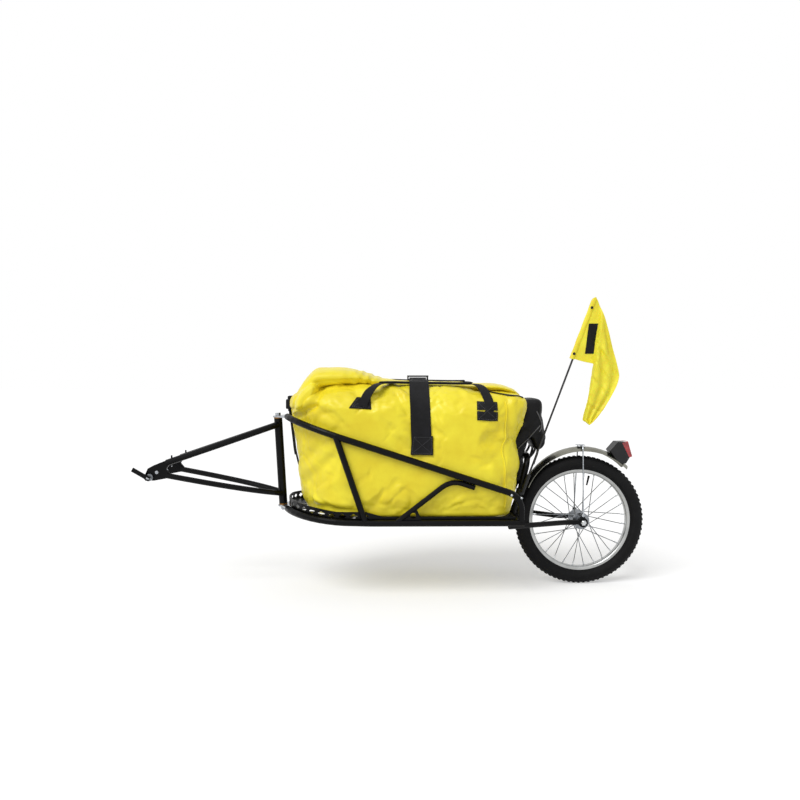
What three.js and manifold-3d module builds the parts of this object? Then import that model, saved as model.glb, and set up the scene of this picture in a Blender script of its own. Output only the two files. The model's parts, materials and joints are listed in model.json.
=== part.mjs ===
import * as THREE from "three";
import { mergeVertices } from "three/addons/utils/BufferGeometryUtils.js";
import Module from "manifold-3d";

// Single wheel touring trailer, towed from a bicycle's rear axle, with its dry bag and flag.
// Millimetres. X runs to the rear from the wheel axle, Y to the trailer's right, Z up from the ground.

const wasm = await Module();
wasm.setup();

// Clearances
const seat_gap = 0.3;
const running_gap = 0.6;
const overrun = 6;

// Wheel
const tyre_radius = 198;
const tyre_width = 46;
const tyre_wall = 4;
const tyre_bead_angle = 35;
const bead_radius = 152.5;
const bead_width = 4;
const tread_groove_depth = 1.6;
const rim_radius = 159;
const rim_width = 26;
const rim_wall = 2.4;
const rim_depth = 20;
const rim_well = 8;
const hub_length = 96;
const hub_shell_radius = 13;
const hub_end_radius = 17;
const hub_bore = 8;
const flange_radius = 26;
const flange_spacing = 60;
const flange_thickness = 3;
const bearing_radius = 13;
const bearing_width = 8;
const axle_radius = 5;
const spoke_radius = 1.2;
const spoke_hole_radius = 22;
const spokes_per_flange = 14;
const spoke_lean_steps = 2;
const valve_radius = 3.5;
const valve_length = 30;
const valve_tip_radius = 2.45;
const valve_angle = 77;
const wheel_sides = 36;

// Rear dropouts and wheel nuts
const dropout_thickness = 5;
const locknut_width = 4;
const locknut_radius = 8.5;
const dropout_boss_radius = 15;
const dropout_tail = 44;
const dropout_tail_height = 12;
const eyelet_rise = 22;
const eyelet_radius = 6;
const nut_across_flats = 15;
const nut_height = 9;
const nut_dome_height = 5;
const nut_floor = 2;

// Frame tubes
const rail_radius = 9.5;
const frame_half_width = 200;
const nose_reach = 905;
const nose_radius = 190;
const rail_start_angle = 21;
const top_rail_nose_height = 526;
const top_rail_corner_height = 300;
const rear_drop_reach = 212;
const rear_bend_radius = 50;
const floor_rail_height = 224;
const nose_rise = 24;
const nose_rise_reach = 640;
const front_brace_radius = 9;
const front_brace_top_reach = 740;
const front_brace_foot_reach = 656;
const rear_brace_radius = 7.5;
const rear_brace_foot_reach = 571;
const rear_brace_bend_reach = 412;
const rear_brace_end_reach = 345;
const rear_brace_bend_radius = 60;
const gusset_thickness = 4;
const gusset_length = 76;
const gusset_height = 45;
const gusset_belly_share = 0.7;
const gusset_hole_radius = 8.5;
const gusset_hole_reach = 520;
const gusset_hole_rise = 22;
const stay_radius = 8;
const stay_front_reach = 240;
const stay_front_half_width = 162;
const stay_bend_reach = 52;
const stay_bend_radius = 40;
const stay_end_reach = 22;

// Floor tray of expanded metal
const tray_sheet = 2;
const tray_floor_rise = 6;
const tray_wall_height = 26;
const tray_rear_wall_height = 12;
const tray_step_length = 50;
const diamond_length = 80;
const diamond_width = 38;
const strand_width = 4;
const tray_rim = 6;
const wall_diamond_pitch = 32;
const wall_diamond_length = 24;
const wall_diamond_height = 14;

// Pivot
const pivot_top_reach = 931.3;
const pivot_foot_reach = 916;
const upper_plate_height = 518.5;
const lower_plate_height = 244;
const plate_thickness = 5;
const plate_ring_radius = 16;
const plate_wing_angle = 30;
const pivot_tube_radius = 12.7;
const pivot_tube_wall = 2.5;
const bush_flange = 3;
const bush_length = 22;
const pin_radius = 6;
const pin_head_across_flats = 15;
const pin_head_height = 8;
const pin_tip = 3;
const plate_ring_start_angle = 100;
const plate_ring_sides = 6;

// Fork
const fork_end_reach = 1252;
const fork_half_width = 80;
const fork_upper_radius = 9.5;
const fork_lower_radius = 8.5;
const fork_upper_front_height = 384;
const fork_upper_pivot_height = 494;
const fork_lower_front_height = 346;
const fork_lower_pivot_height = 282;
const fork_root_half_width = 11;
const fork_straight = 132;
const fork_root_length = 72;
const fork_waist_half_width = 66;
const lanyard_peg_radius = 2.5;
const lanyard_peg_height = 8;
const lanyard_peg_setback = 16;

// Hitch
const hitch_reach = 1302;
const hitch_height = 341;
const fork_plate_thickness = 6;
const fork_plate_length = 72;
const fork_plate_height = 62;
const bobbin_waist_radius = 6;
const bobbin_flange_radius = 11;
const bobbin_inner_flange = 3;
const bobbin_outer_flange = 5;
const skewer_radius = 2.5;
const housing_radius = 9;
const housing_length = 6;
const eye_radius = 5;
const eye_thickness = 5;
const lever_cheek_radius = 7.5;
const lever_cheek = 3.5;
const lever_pin_radius = 1.5;
const lever_length = 52;
const lever_thickness = 4;
const lever_rise_angle = 30;
const lever_neck_lap = 1.2;
const skewer_nut_radius = 9;
const skewer_nut_length = 13;
const retaining_pin_radius = 2;
const retaining_pin_head_radius = 5;
const retaining_pin_head = 3;
const retaining_pin_grip = 4;
const retaining_pin_setback = 22;
const retaining_pin_rise = 15;

// Rear hoop and flag
const hoop_half_width = 62;
const hoop_knee_reach = 194;
const hoop_knee_height = 290;
const hoop_top_reach = 168;
const hoop_top_height = 400;
const hoop_knee_radius = 150;
const hoop_corner_radius = 38;
const bridge_radius = 6;
const bridge_height = 316;
const bridge_lug_lap_angle = 2;
const pole_radius = 3;
const pole_lean = 20.49;
const pole_foot_reach = 188.5;
const pole_foot_height = 296;
const pole_length = 612;
const holder_wall = 3;
const holder_length = 58;
const holder_floor = 4;
const holder_band = 16;
const holder_band_height = 294;
const flag_hoist = 190;
const flag_top_spare = 6;
const flag_sheet = 1.4;
const flag_sleeve_wall = 1.6;
const flag_drop = 379;
const flag_spread = 131;
const flag_fold_depth = 12;

// Fender and tail light
const fender_radius = 197;
const fender_centre_reach = 8;
const fender_centre_height = 228;
const fender_half_width = 29;
const fender_sheet = 1.5;
const fender_crown = 12;
const fender_front_angle = 157;
const fender_rear_angle = 44;
const wire_radius = 2;
const wire_half_width = 33;
const wire_bend_radius = 9;
const wire_reach = 4;
const wire_eye_radius = 5;
const clip_length = 24;
const clip_width = 30;
const clip_thickness = 2;
const light_half_width = 26;
const light_front_reach = 90;
const light_length = 66;
const light_height = 66;
const light_base_height = 374;
const lens_thickness = 7;

// Dry bag
const bag_half_width = 186;
const bag_front_reach = 876;
const bag_rear_reach = 196;
const bag_height = 380;
const bag_front_round = 160;
const bag_rear_round = 55;
const roll_height = 56;
const roll_width = 96;
const webbing = 2.4;
const centre_strap_reach = 495;
const centre_strap_width = 57;
const centre_strap_foot_height = 419;
const centre_patch_width = 65;
const centre_patch_height = 52;
const centre_buckle_length = 58;
const centre_buckle_width = 66;
const centre_buckle_height = 15;
const handle_width = 25;
const handle_front_reach = 668;
const handle_rear_reach = 315;
const handle_foot_height = 514;
const handle_top_height = 622;
const handle_patch_height = 53;
const handle_patch_width = 59;
const front_strap_width = 25;
const front_strap_foot_height = 320;
const front_strap_top_height = 560;
const front_buckle_height = 38;
const front_buckle_depth = 22;
const front_buckle_width = 44;
const front_buckle_base_height = 527;
const front_buckle_reach = 889;
const pouch_half_width = 64;
const pouch_depth = 118.4;
const pouch_height = 156;
const pouch_rear_reach = 104;
const pouch_base_height = 415;

// Solids
const at = (x, y, z) => new THREE.Vector3(x, y, z);
const radians = THREE.MathUtils.degToRad;
const lerp = THREE.MathUtils.lerp;
const left_and_right = [["left", -1], ["right", 1]];
const sideways = at(0, 1, 0);
const upward = at(0, 0, 1);

function solid(geometry) {
  const bare = geometry.index ? geometry.toNonIndexed() : geometry.clone();
  for (const name of Object.keys(bare.attributes)) if (name !== "position") bare.deleteAttribute(name);
  const merged = mergeVertices(bare, 1e-3);
  const corners = new Uint32Array(merged.index.array);
  const vertices = merged.attributes.position.array;
  const shell = () => new wasm.Manifold(
    new wasm.Mesh({ numProp: 3, vertProperties: vertices, triVerts: corners }));
  const made = shell();
  if (made.volume() >= 0) return made;
  corners.reverse();
  return shell();
}

function geometry_of(body) {
  const mesh = body.getMesh();
  const positions = new Float32Array(mesh.numVert * 3);
  for (let i = 0; i < mesh.numVert; i++) {
    positions.set(mesh.vertProperties.subarray(i * mesh.numProp, i * mesh.numProp + 3), i * 3);
  }
  const geometry = new THREE.BufferGeometry();
  geometry.setAttribute("position", new THREE.BufferAttribute(positions, 3));
  geometry.setIndex(new THREE.BufferAttribute(mesh.triVerts, 1));
  const flat = geometry.toNonIndexed();
  flat.computeVertexNormals();
  return flat;
}

const join = (first, ...others) => others.reduce((body, other) => body.add(other), first);
const cut = (first, ...others) => others.reduce((body, other) => body.subtract(other), first);

// A run of stations that a section is swept along, one step from each station to the next
class Run extends THREE.Curve {
  constructor(stations) {
    super();
    this.stations = stations;
  }

  getPoint(share, target = new THREE.Vector3()) {
    const last = this.stations.length - 1;
    const index = Math.min(Math.floor(share * last + 1e-9), last - 1);
    return target.lerpVectors(this.stations[index], this.stations[index + 1], share * last - index);
  }

  getTangent(share, target = new THREE.Vector3()) {
    const index = Math.round(share * (this.stations.length - 1));
    return target.copy(heading(this.stations, index));
  }

  getPointAt(share, target) {
    return this.getPoint(share, target);
  }

  getTangentAt(share, target) {
    return this.getTangent(share, target);
  }

  getSpacedPoints(count) {
    return this.getPoints(count);
  }
}

function heading(stations, index) {
  const here = stations[index];
  const before = stations[Math.max(index - 1, 0)];
  const after = stations[Math.min(index + 1, stations.length - 1)];
  const arriving = here.clone().sub(before).normalize();
  const leaving = after.clone().sub(here).normalize();
  return arriving.add(leaving).normalize();
}

function ring_points(radius, sides) {
  return Array.from({ length: sides }, (_, i) => {
    const angle = (2 * Math.PI * i) / sides;
    return new THREE.Vector2(radius * Math.cos(angle), radius * Math.sin(angle));
  });
}

function round_shape(radius, sides, bore = 0) {
  const shape = new THREE.Shape(ring_points(radius, sides));
  if (bore > 0) shape.holes.push(new THREE.Path(ring_points(bore, sides)));
  return shape;
}

const hexagon = (across_flats) => new THREE.Shape(ring_points(across_flats / Math.sqrt(3), 6));

function tube(stations, radius, sides = 12, bore = 0) {
  const settings = { steps: stations.length - 1, extrudePath: new Run(stations), bevelEnabled: false };
  return solid(new THREE.ExtrudeGeometry(round_shape(radius, sides, bore), settings));
}

// Stations of a bent tube: straight runs between corners, each bend an arc of its own radius
function bent_run(corners, bend_step = 15) {
  const stations = [corners[0].place];
  for (let i = 1; i < corners.length - 1; i++) {
    const here = corners[i].place;
    const back = corners[i - 1].place.clone().sub(here).normalize();
    const onward = corners[i + 1].place.clone().sub(here).normalize();
    const turn = Math.PI - back.angleTo(onward);
    const reach = corners[i].radius * Math.tan(turn / 2);
    const inward = back.clone().add(onward).normalize();
    const centre = inward.multiplyScalar(corners[i].radius / Math.cos(turn / 2)).add(here);
    const start = back.clone().multiplyScalar(reach).add(here).sub(centre);
    const axis = start.clone().cross(back.clone().negate()).normalize();
    const steps = Math.max(2, Math.ceil(turn / radians(bend_step)));
    for (let k = 0; k <= steps; k++) {
      stations.push(start.clone().applyAxisAngle(axis, (turn * k) / steps).add(centre));
    }
  }
  stations.push(corners[corners.length - 1].place);
  return stations;
}

// A closed skin through rings of like-numbered points, capped at both ends
function loft(rings, flat_outline) {
  const count = rings[0].length;
  const caps = THREE.ShapeUtils.triangulateShape(flat_outline, []);
  const turned = THREE.ShapeUtils.area(flat_outline) < 0;
  const last = (rings.length - 1) * count;
  const faces = [];
  for (let i = 0; i + 1 < rings.length; i++) {
    for (let j = 0; j < count; j++) {
      const a = i * count + j;
      const b = i * count + ((j + 1) % count);
      faces.push(a, b, b + count, a, b + count, a + count);
    }
  }
  for (const corners of caps) {
    const [a, b, c] = turned ? [...corners].reverse() : corners;
    faces.push(c, b, a, last + a, last + b, last + c);
  }
  const geometry = new THREE.BufferGeometry().setFromPoints(rings.flat());
  geometry.setIndex(faces);
  return solid(geometry);
}

// A flat section carried along stations; each station says which way its width lies
function ribbon(stations, section) {
  const places = stations.map((station) => station.place);
  const rings = stations.map(({ place, across, swell = 1, spread = 1 }, i) => {
    const normal = heading(places, i).cross(across).normalize();
    return section.map((point) => place.clone()
      .addScaledVector(across, point.x * spread)
      .addScaledVector(normal, point.y * swell));
  });
  return loft(rings, section);
}

function flat_section(width, thickness) {
  return [[-1, -1], [1, -1], [1, 1], [-1, 1]]
    .map(([x, y]) => new THREE.Vector2((x * width) / 2, (y * thickness) / 2));
}

// A profile of radius and place along the axis, revolved about Y
function revolve(profile, sides) {
  const points = profile.map(([radius, place]) => new THREE.Vector2(radius, place));
  return solid(new THREE.LatheGeometry(points, sides));
}

// The first half of a profile, and the same half mirrored to the other side
const mirrored = (half) => half.map(([radius, place]) => [radius, -place]).reverse();

// A round bar along Y between two places
function bar_y(radius, from, to, sides = 16) {
  const bar = new THREE.CylinderGeometry(radius, radius, Math.abs(to - from), sides);
  return solid(bar.translate(0, (from + to) / 2, 0));
}

// A plate drawn in X and Z, centred on one Y
function plate_xz(shape, thickness, y) {
  const slab = new THREE.ExtrudeGeometry(shape,
    { depth: thickness, bevelEnabled: false, curveSegments: 8 });
  slab.rotateX(Math.PI / 2);
  return solid(slab.translate(0, y + thickness / 2, 0));
}

function block(length, width, height, place) {
  return solid(new THREE.BoxGeometry(length, width, height).translate(place.x, place.y, place.z));
}

const moved = (body, place) => body.translate([place.x, place.y, place.z]);

const trailer = new THREE.Group();
const wheel = new THREE.Group();
const hitch = new THREE.Group();
trailer.add(wheel, hitch);
wheel.position.set(0, 0, tyre_radius);
hitch.position.set(-hitch_reach, 0, hitch_height);

const finishes = {
  black_paint: { color: 0x141416, roughness: 0.25, metalness: 0.3 },
  rubber: { color: 0x1c1c1e, roughness: 0.85, metalness: 0 },
  polished_alloy: { color: 0xd0d2d4, roughness: 0.3, metalness: 0.9 },
  zinc_steel: { color: 0xb4b6b8, roughness: 0.4, metalness: 0.9 },
  bronze: { color: 0xa08050, roughness: 0.5, metalness: 0.8 },
  black_plastic: { color: 0x202022, roughness: 0.5, metalness: 0 },
  red_lens: { color: 0xa01020, roughness: 0.15, metalness: 0 },
  black_fibreglass: { color: 0x18181a, roughness: 0.4, metalness: 0 },
  yellow_coated_cloth: { color: 0xeadf3c, roughness: 0.35, metalness: 0 },
  yellow_flag_cloth: { color: 0xf0e040, roughness: 0.7, metalness: 0 },
  black_webbing: { color: 0x222224, roughness: 0.8, metalness: 0 },
};

function piece(name, body, finish, group = trailer) {
  const mesh = new THREE.Mesh(geometry_of(body), new THREE.MeshStandardMaterial(finishes[finish]));
  mesh.name = name;
  group.add(mesh);
}

// Tyre: an open casing whose beads sit inside the rim's flanges
function tyre() {
  const half_height = (tyre_radius - bead_radius) / 2;
  const middle = tyre_radius - half_height;
  const start = -tyre_bead_angle;
  const steps = 8;
  const arc = (across, up, from, to) => Array.from({ length: steps + 1 }, (_, i) => {
    const angle = radians(lerp(from, to, i / steps));
    return [middle + up * Math.sin(angle), across * Math.cos(angle)];
  });
  const outer = arc(tyre_width / 2, half_height, start, 180 - start);
  for (const i of [steps / 2 - 1, steps / 2 + 1]) outer[i][0] -= tread_groove_depth;
  const inner = arc(tyre_width / 2 - tyre_wall, half_height - tyre_wall, 180 - start, start);
  const edge = rim_radius + seat_gap;
  const outside = rim_width / 2 - rim_wall - seat_gap;
  const inside = outside - bead_width;
  const bead = bead_radius + seat_gap;
  const right_bead = [[edge + tyre_wall / 2, inside], [bead, inside], [bead, outside],
    [edge, outside], [edge, rim_width / 2]];
  const profile = [...outer, ...mirrored(right_bead), ...inner, ...right_bead];
  return revolve([...profile, profile[0]], wheel_sides);
}

const rim_floor_share = 0.6;
const bead_seat_share = 0.65;
const rim_well_share = 0.4;

function rim() {
  const edge = rim_width / 2;
  const inner = rim_radius - rim_depth;
  const seat = edge - rim_wall;
  const half = [[inner, 0], [inner + rim_wall, edge * rim_floor_share],
    [bead_radius - rim_wall, edge], [rim_radius, edge], [rim_radius, seat], [bead_radius, seat],
    [bead_radius, seat * bead_seat_share], [inner + rim_well, seat * rim_well_share]];
  return revolve([...half, ...mirrored(half)], wheel_sides);
}

const lacing_radius = (rim_radius - rim_depth) * Math.cos(Math.PI / wheel_sides) - seat_gap;

// Hub shell with two flanges, bearing seats at its ends, and the laced spokes
function hub() {
  const end = hub_length / 2;
  const face = (flange_spacing + flange_thickness) / 2;
  const back = face - flange_thickness;
  const seat = bearing_radius + seat_gap;
  const floor = end - bearing_width - seat_gap;
  const half = [[hub_shell_radius, 0], [hub_shell_radius, back - flange_thickness],
    [flange_radius, back], [flange_radius, face], [hub_end_radius, face], [hub_end_radius, end],
    [seat, end], [seat, floor], [hub_bore, floor]];
  const shell = revolve([...half, ...mirrored(half)], 20);
  const step = (2 * Math.PI) / spokes_per_flange;
  const spokes = [];
  for (const side of [-1, 1]) {
    for (let i = 0; i < spokes_per_flange; i++) {
      const foot_angle = step * (i + side / 4);
      const tip_angle = foot_angle + step * spoke_lean_steps * (i % 2 ? 1 : -1);
      const foot = at(spoke_hole_radius * Math.cos(foot_angle), (side * flange_spacing) / 2,
        spoke_hole_radius * Math.sin(foot_angle));
      const tip = at(lacing_radius * Math.cos(tip_angle), 0, lacing_radius * Math.sin(tip_angle));
      spokes.push(tube([foot, tip], spoke_radius, 4));
    }
  }
  return join(shell, ...spokes);
}

function bearing(side) {
  const inner = axle_radius + seat_gap;
  const outer_face = side * hub_length / 2;
  const inner_face = outer_face - side * bearing_width;
  return revolve([[inner, inner_face], [bearing_radius, inner_face],
    [bearing_radius, outer_face], [inner, outer_face], [inner, inner_face]], 20);
}

function valve() {
  const foot = lacing_radius - valve_length;
  const stem = new THREE.CylinderGeometry(valve_radius, valve_tip_radius, valve_length, 10);
  stem.translate(0, foot + valve_length / 2, 0);
  stem.rotateZ(-Math.PI / 2);
  stem.rotateY(-radians(valve_angle));
  return solid(stem);
}

const dropout_inner = hub_length / 2 + running_gap + locknut_width;
const dropout_middle = dropout_inner + seat_gap + dropout_thickness / 2;
const dropout_outer = dropout_middle + dropout_thickness / 2;
const axle_end = dropout_outer + seat_gap + nut_height - nut_floor;

function wheel_axle() {
  const collar = hub_length / 2 + running_gap;
  const half = [[locknut_radius, dropout_inner], [locknut_radius, collar], [axle_radius, collar]];
  const end = [[0, axle_end], [axle_radius, axle_end], [axle_radius, dropout_inner]];
  return revolve([...end, ...half, ...mirrored(half), ...mirrored(end)], 20);
}

function axle_nut(side) {
  const start = dropout_outer + seat_gap;
  const hex = new THREE.ExtrudeGeometry(hexagon(nut_across_flats),
    { depth: nut_height, bevelEnabled: false });
  hex.rotateX(-Math.PI / 2).translate(0, start, 0);
  const dome = new THREE.SphereGeometry(nut_across_flats / 2, 16, 8);
  dome.scale(1, (2 * nut_dome_height) / nut_across_flats, 1).translate(0, start + nut_height, 0);
  const bore = bar_y(axle_radius + seat_gap, start - overrun, axle_end + seat_gap, 20);
  const nut = cut(join(solid(hex), solid(dome)), bore);
  return side > 0 ? nut : nut.rotate([0, 0, 180]);
}

piece("tyre", tyre(), "rubber", wheel);
piece("rim", rim(), "polished_alloy", wheel);
piece("hub", hub(), "polished_alloy", wheel);
piece("valve", valve(), "rubber", wheel);
piece("axle", wheel_axle(), "zinc_steel", wheel);
for (const [word, side] of left_and_right) {
  piece("bearing_" + word, bearing(side), "zinc_steel", wheel);
  piece("axle_nut_" + word, axle_nut(side), "polished_alloy", wheel);
}

// Rails: the left and right ones are halves of loops that round the nose
const rail_slope = (top_rail_nose_height - top_rail_corner_height) / (nose_reach - rear_drop_reach);
const top_rail_height = (x) => top_rail_corner_height - (x + rear_drop_reach) * rail_slope;
const nose_centre = nose_radius - nose_reach;
const nose_flat = frame_half_width - nose_radius;

function rise_at(x) {
  const share = Math.max(0, (-x - nose_rise_reach) / (nose_reach - nose_rise_reach));
  return nose_rise * share * share;
}

function nose_point(angle, radius) {
  const x = nose_centre - radius * Math.cos(angle);
  return new THREE.Vector2(x, Math.sign(angle) * nose_flat + radius * Math.sin(angle));
}

const nose_steps = 9;
const nose_angles = Array.from({ length: nose_steps + 1 },
  (_, i) => radians(lerp(rail_start_angle, 90, i / nose_steps)));

function nose_arc(side, height_of) {
  return nose_angles.map((angle) => {
    const point = nose_point(side * angle, nose_radius);
    return at(point.x, point.y, height_of(point.x));
  });
}

function top_rail(side, spare = 0) {
  const arc = nose_arc(side, top_rail_height);
  const y = side * frame_half_width;
  const rest = bent_run([{ place: arc[nose_steps] },
    { place: at(-rear_drop_reach, y, top_rail_corner_height), radius: rear_bend_radius },
    { place: at(-rear_drop_reach, y, floor_rail_height + rail_radius / 2) }]);
  return tube([...arc, ...rest.slice(1)], rail_radius + spare);
}

function floor_rail(side, spare = 0) {
  const y = side * frame_half_width;
  const arc = nose_arc(side, (x) => floor_rail_height + rise_at(x));
  return tube([...arc, at(-nose_rise_reach, y, floor_rail_height),
    at(rail_radius - rear_drop_reach, y, floor_rail_height)], rail_radius + spare);
}

// Pivot: its pieces are built upright round the pin, then leaned to the real axis
const pivot_foot = at(-pivot_foot_reach, 0, lower_plate_height);
const pivot_head = at(-pivot_top_reach, 0, upper_plate_height);
const pivot_axis = pivot_head.clone().sub(pivot_foot).normalize();
const pivot_length = pivot_head.distanceTo(pivot_foot);
const pivot_pose = new THREE.Matrix4().makeBasis(
  sideways.clone().cross(pivot_axis), sideways, pivot_axis).setPosition(pivot_foot);
const leaned = (geometry) => solid(geometry.clone().applyMatrix4(pivot_pose));

function upright(shape, from, to) {
  const slab = new THREE.ExtrudeGeometry(shape, { depth: to - from, bevelEnabled: false });
  return slab.translate(0, 0, from);
}

// A plate round the pin whose two wings reach into the ends of the rails
function pivot_plate(along, spare = 0) {
  const pin_x = lerp(-pivot_foot_reach, -pivot_top_reach, along / pivot_length);
  const wing = radians(plate_wing_angle) * (1 + spare / plate_ring_radius);
  const rear_edge = nose_radius - rail_radius + seat_gap - spare;
  const ring = plate_ring_radius + spare;
  const inner = nose_radius - rail_radius / 2 - spare;
  const outer = nose_radius + rail_radius / 2 + 2 * spare;
  const local = (angle, radius) => nose_point(angle, radius).sub(new THREE.Vector2(pin_x, 0));
  const ring_start = radians(plate_ring_start_angle);
  const outline = [];
  for (let i = 0; i <= plate_ring_sides; i++) {
    const angle = lerp(wing, -wing, i / plate_ring_sides);
    outline.push(local(angle, Math.abs(angle) < wing / 2 ? rear_edge : inner));
  }
  outline.push(local(-wing, outer));
  for (let i = 0; i <= plate_ring_sides; i++) {
    const angle = lerp(-ring_start, ring_start - 2 * Math.PI, i / plate_ring_sides);
    outline.push(new THREE.Vector2(ring * Math.cos(angle), ring * Math.sin(angle)));
  }
  outline.push(local(wing, outer));
  const half = plate_thickness / 2 + spare;
  const slab = leaned(upright(new THREE.Shape(outline), along - half, along + half));
  const hole = leaned(upright(round_shape(pin_radius + seat_gap, 24),
    along - plate_thickness, along + plate_thickness));
  return spare > 0 ? slab : cut(slab, hole);
}

piece("upper_pivot_plate", pivot_plate(pivot_length), "zinc_steel");
piece("lower_pivot_plate", pivot_plate(0), "zinc_steel");
const upper_plate_room = pivot_plate(pivot_length, seat_gap);
const lower_plate_room = pivot_plate(0, seat_gap);

const bush_face = plate_thickness / 2 + seat_gap;
const tube_start = bush_face + bush_flange + seat_gap;
const tube_bore = pivot_tube_radius - pivot_tube_wall;
piece("pivot_tube", leaned(upright(round_shape(pivot_tube_radius, 24, tube_bore),
  tube_start, pivot_length - tube_start)), "black_paint");

function pivot_bush(upper) {
  const bore = pin_radius + seat_gap;
  const barrel = tube_bore - seat_gap;
  const flange_end = bush_face + bush_flange;
  const barrel_end = bush_face + bush_length;
  const profile = [[bore, bush_face], [pivot_tube_radius, bush_face],
    [pivot_tube_radius, flange_end], [barrel, flange_end], [barrel, barrel_end],
    [bore, barrel_end], [bore, bush_face]];
  const shape = new THREE.LatheGeometry(profile.map(([r, z]) => new THREE.Vector2(r, z)), 24);
  shape.rotateX(Math.PI / 2);
  if (upper) shape.rotateX(Math.PI).translate(0, 0, pivot_length);
  return leaned(shape);
}

piece("upper_bush", pivot_bush(true), "bronze");
piece("lower_bush", pivot_bush(false), "bronze");

const head_start = pivot_length + plate_thickness / 2 + seat_gap;
const nut_end = -plate_thickness / 2 - seat_gap;
const nut_start = nut_end - pin_head_height;
const pin_rod = leaned(upright(round_shape(pin_radius, 24), nut_start - pin_tip,
  head_start + pin_head_height / 2));
const pin_head = leaned(upright(hexagon(pin_head_across_flats), head_start,
  head_start + pin_head_height));
const pin_nut = leaned(upright(hexagon(pin_head_across_flats), nut_start, nut_end));
const pin_nut_bore = leaned(upright(round_shape(pin_radius + seat_gap, 24),
  nut_start - overrun, nut_end + overrun));
piece("pivot_pin", join(pin_rod, pin_head), "zinc_steel");
piece("pivot_pin_nut", cut(pin_nut, pin_nut_bore), "zinc_steel");

for (const [word, side] of left_and_right) {
  piece("floor_rail_" + word, cut(floor_rail(side), lower_plate_room), "black_paint");
  piece("top_rail_" + word,
    cut(top_rail(side), upper_plate_room, floor_rail(side, seat_gap)), "black_paint");
}

const rear_tube_run = [-frame_half_width, frame_half_width]
  .map((y) => at(-rear_drop_reach - rail_radius / 2, y, floor_rail_height));
const rear_tube_room = tube(rear_tube_run, rail_radius + seat_gap);
piece("rear_cross_tube", cut(tube(rear_tube_run, rail_radius),
  floor_rail(-1, seat_gap), floor_rail(1, seat_gap), top_rail(-1, seat_gap), top_rail(1, seat_gap)),
"black_paint");

// Braces between the rails
function front_brace(side) {
  const y = side * frame_half_width;
  const foot_height = floor_rail_height + rise_at(-front_brace_foot_reach);
  const bar = tube([at(-front_brace_top_reach, y, top_rail_height(-front_brace_top_reach)),
    at(-front_brace_foot_reach, y, foot_height)], front_brace_radius);
  return cut(bar, top_rail(side, seat_gap), floor_rail(side, seat_gap));
}

// The rear brace bends to lie under the top rail, and a drilled gusset stiffens its foot
function rear_brace(side) {
  const y = side * frame_half_width;
  const drop = (rail_radius + seat_gap + rear_brace_radius) / Math.cos(Math.atan(rail_slope));
  const under = (reach) => at(-reach, y, top_rail_height(-reach) - drop);
  const foot = at(-rear_brace_foot_reach, y, floor_rail_height);
  const bend = under(rear_brace_bend_reach);
  const bar = tube(bent_run([{ place: foot }, { place: bend, radius: rear_brace_bend_radius },
    { place: under(rear_brace_end_reach) }]), rear_brace_radius);
  const way = bend.clone().sub(foot);
  const web_top = foot.clone().addScaledVector(way, gusset_height / way.z);
  const heel = foot.x + gusset_length;
  const web = new THREE.Shape();
  web.moveTo(foot.x, foot.z);
  web.lineTo(web_top.x, web_top.z);
  web.quadraticCurveTo(lerp(web_top.x, heel, gusset_belly_share), foot.z + gusset_height / 2, heel, foot.z);
  const gusset = plate_xz(web, gusset_thickness, y);
  const hole = moved(bar_y(gusset_hole_radius, -overrun, overrun, 20),
    at(-gusset_hole_reach, y, foot.z + gusset_hole_rise));
  return cut(join(bar, gusset), hole, floor_rail(side, seat_gap), top_rail(side, seat_gap));
}

for (const [word, side] of left_and_right) {
  piece("front_brace_" + word, front_brace(side), "black_paint");
  piece("rear_brace_" + word, rear_brace(side), "black_paint");
}

// Floor tray: a sheet of diamond mesh, creased upward at the nose, with a low wall bent round it
const tray_rear = rear_tube_run[0].x - rail_radius - seat_gap;
const tray_base = floor_rail_height + tray_floor_rise;
const tray_wall_base = tray_base - tray_sheet / 2;

function tray_stations(radius) {
  const half_width = nose_flat + radius;
  const straight = [tray_rear, tray_step_length - front_brace_foot_reach,
    -front_brace_foot_reach].map((x) => new THREE.Vector2(x, half_width));
  const round = [...nose_angles].reverse().map((angle) => nose_point(angle, radius));
  const front = [2 / 3, 1 / 3].map((share) => nose_point(share * nose_angles[0], radius));
  const right = [...straight, ...round, ...front];
  const left = [...right].reverse().map((point) => new THREE.Vector2(point.x, -point.y));
  return [...right, nose_point(0, radius), ...left];
}

const tray_radius = nose_radius - rail_radius - seat_gap;
const tray_outer = tray_stations(tray_radius);
const tray_inner = tray_stations(tray_radius - tray_sheet);
const tray_edge = tray_stations(tray_radius - tray_sheet / 2);
const crease_station = 4;
const tray_crease = tray_edge[crease_station].x;
const tray_rise = (x) => (nose_rise * Math.max(0, tray_crease - x)) / (nose_reach + tray_crease);

function tray_diamond(x, y, length, width) {
  return [[length / 2, 0], [0, width / 2], [-length / 2, 0], [0, -width / 2]]
    .map(([dx, dy]) => new THREE.Vector2(x + dx, y + dy));
}

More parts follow.
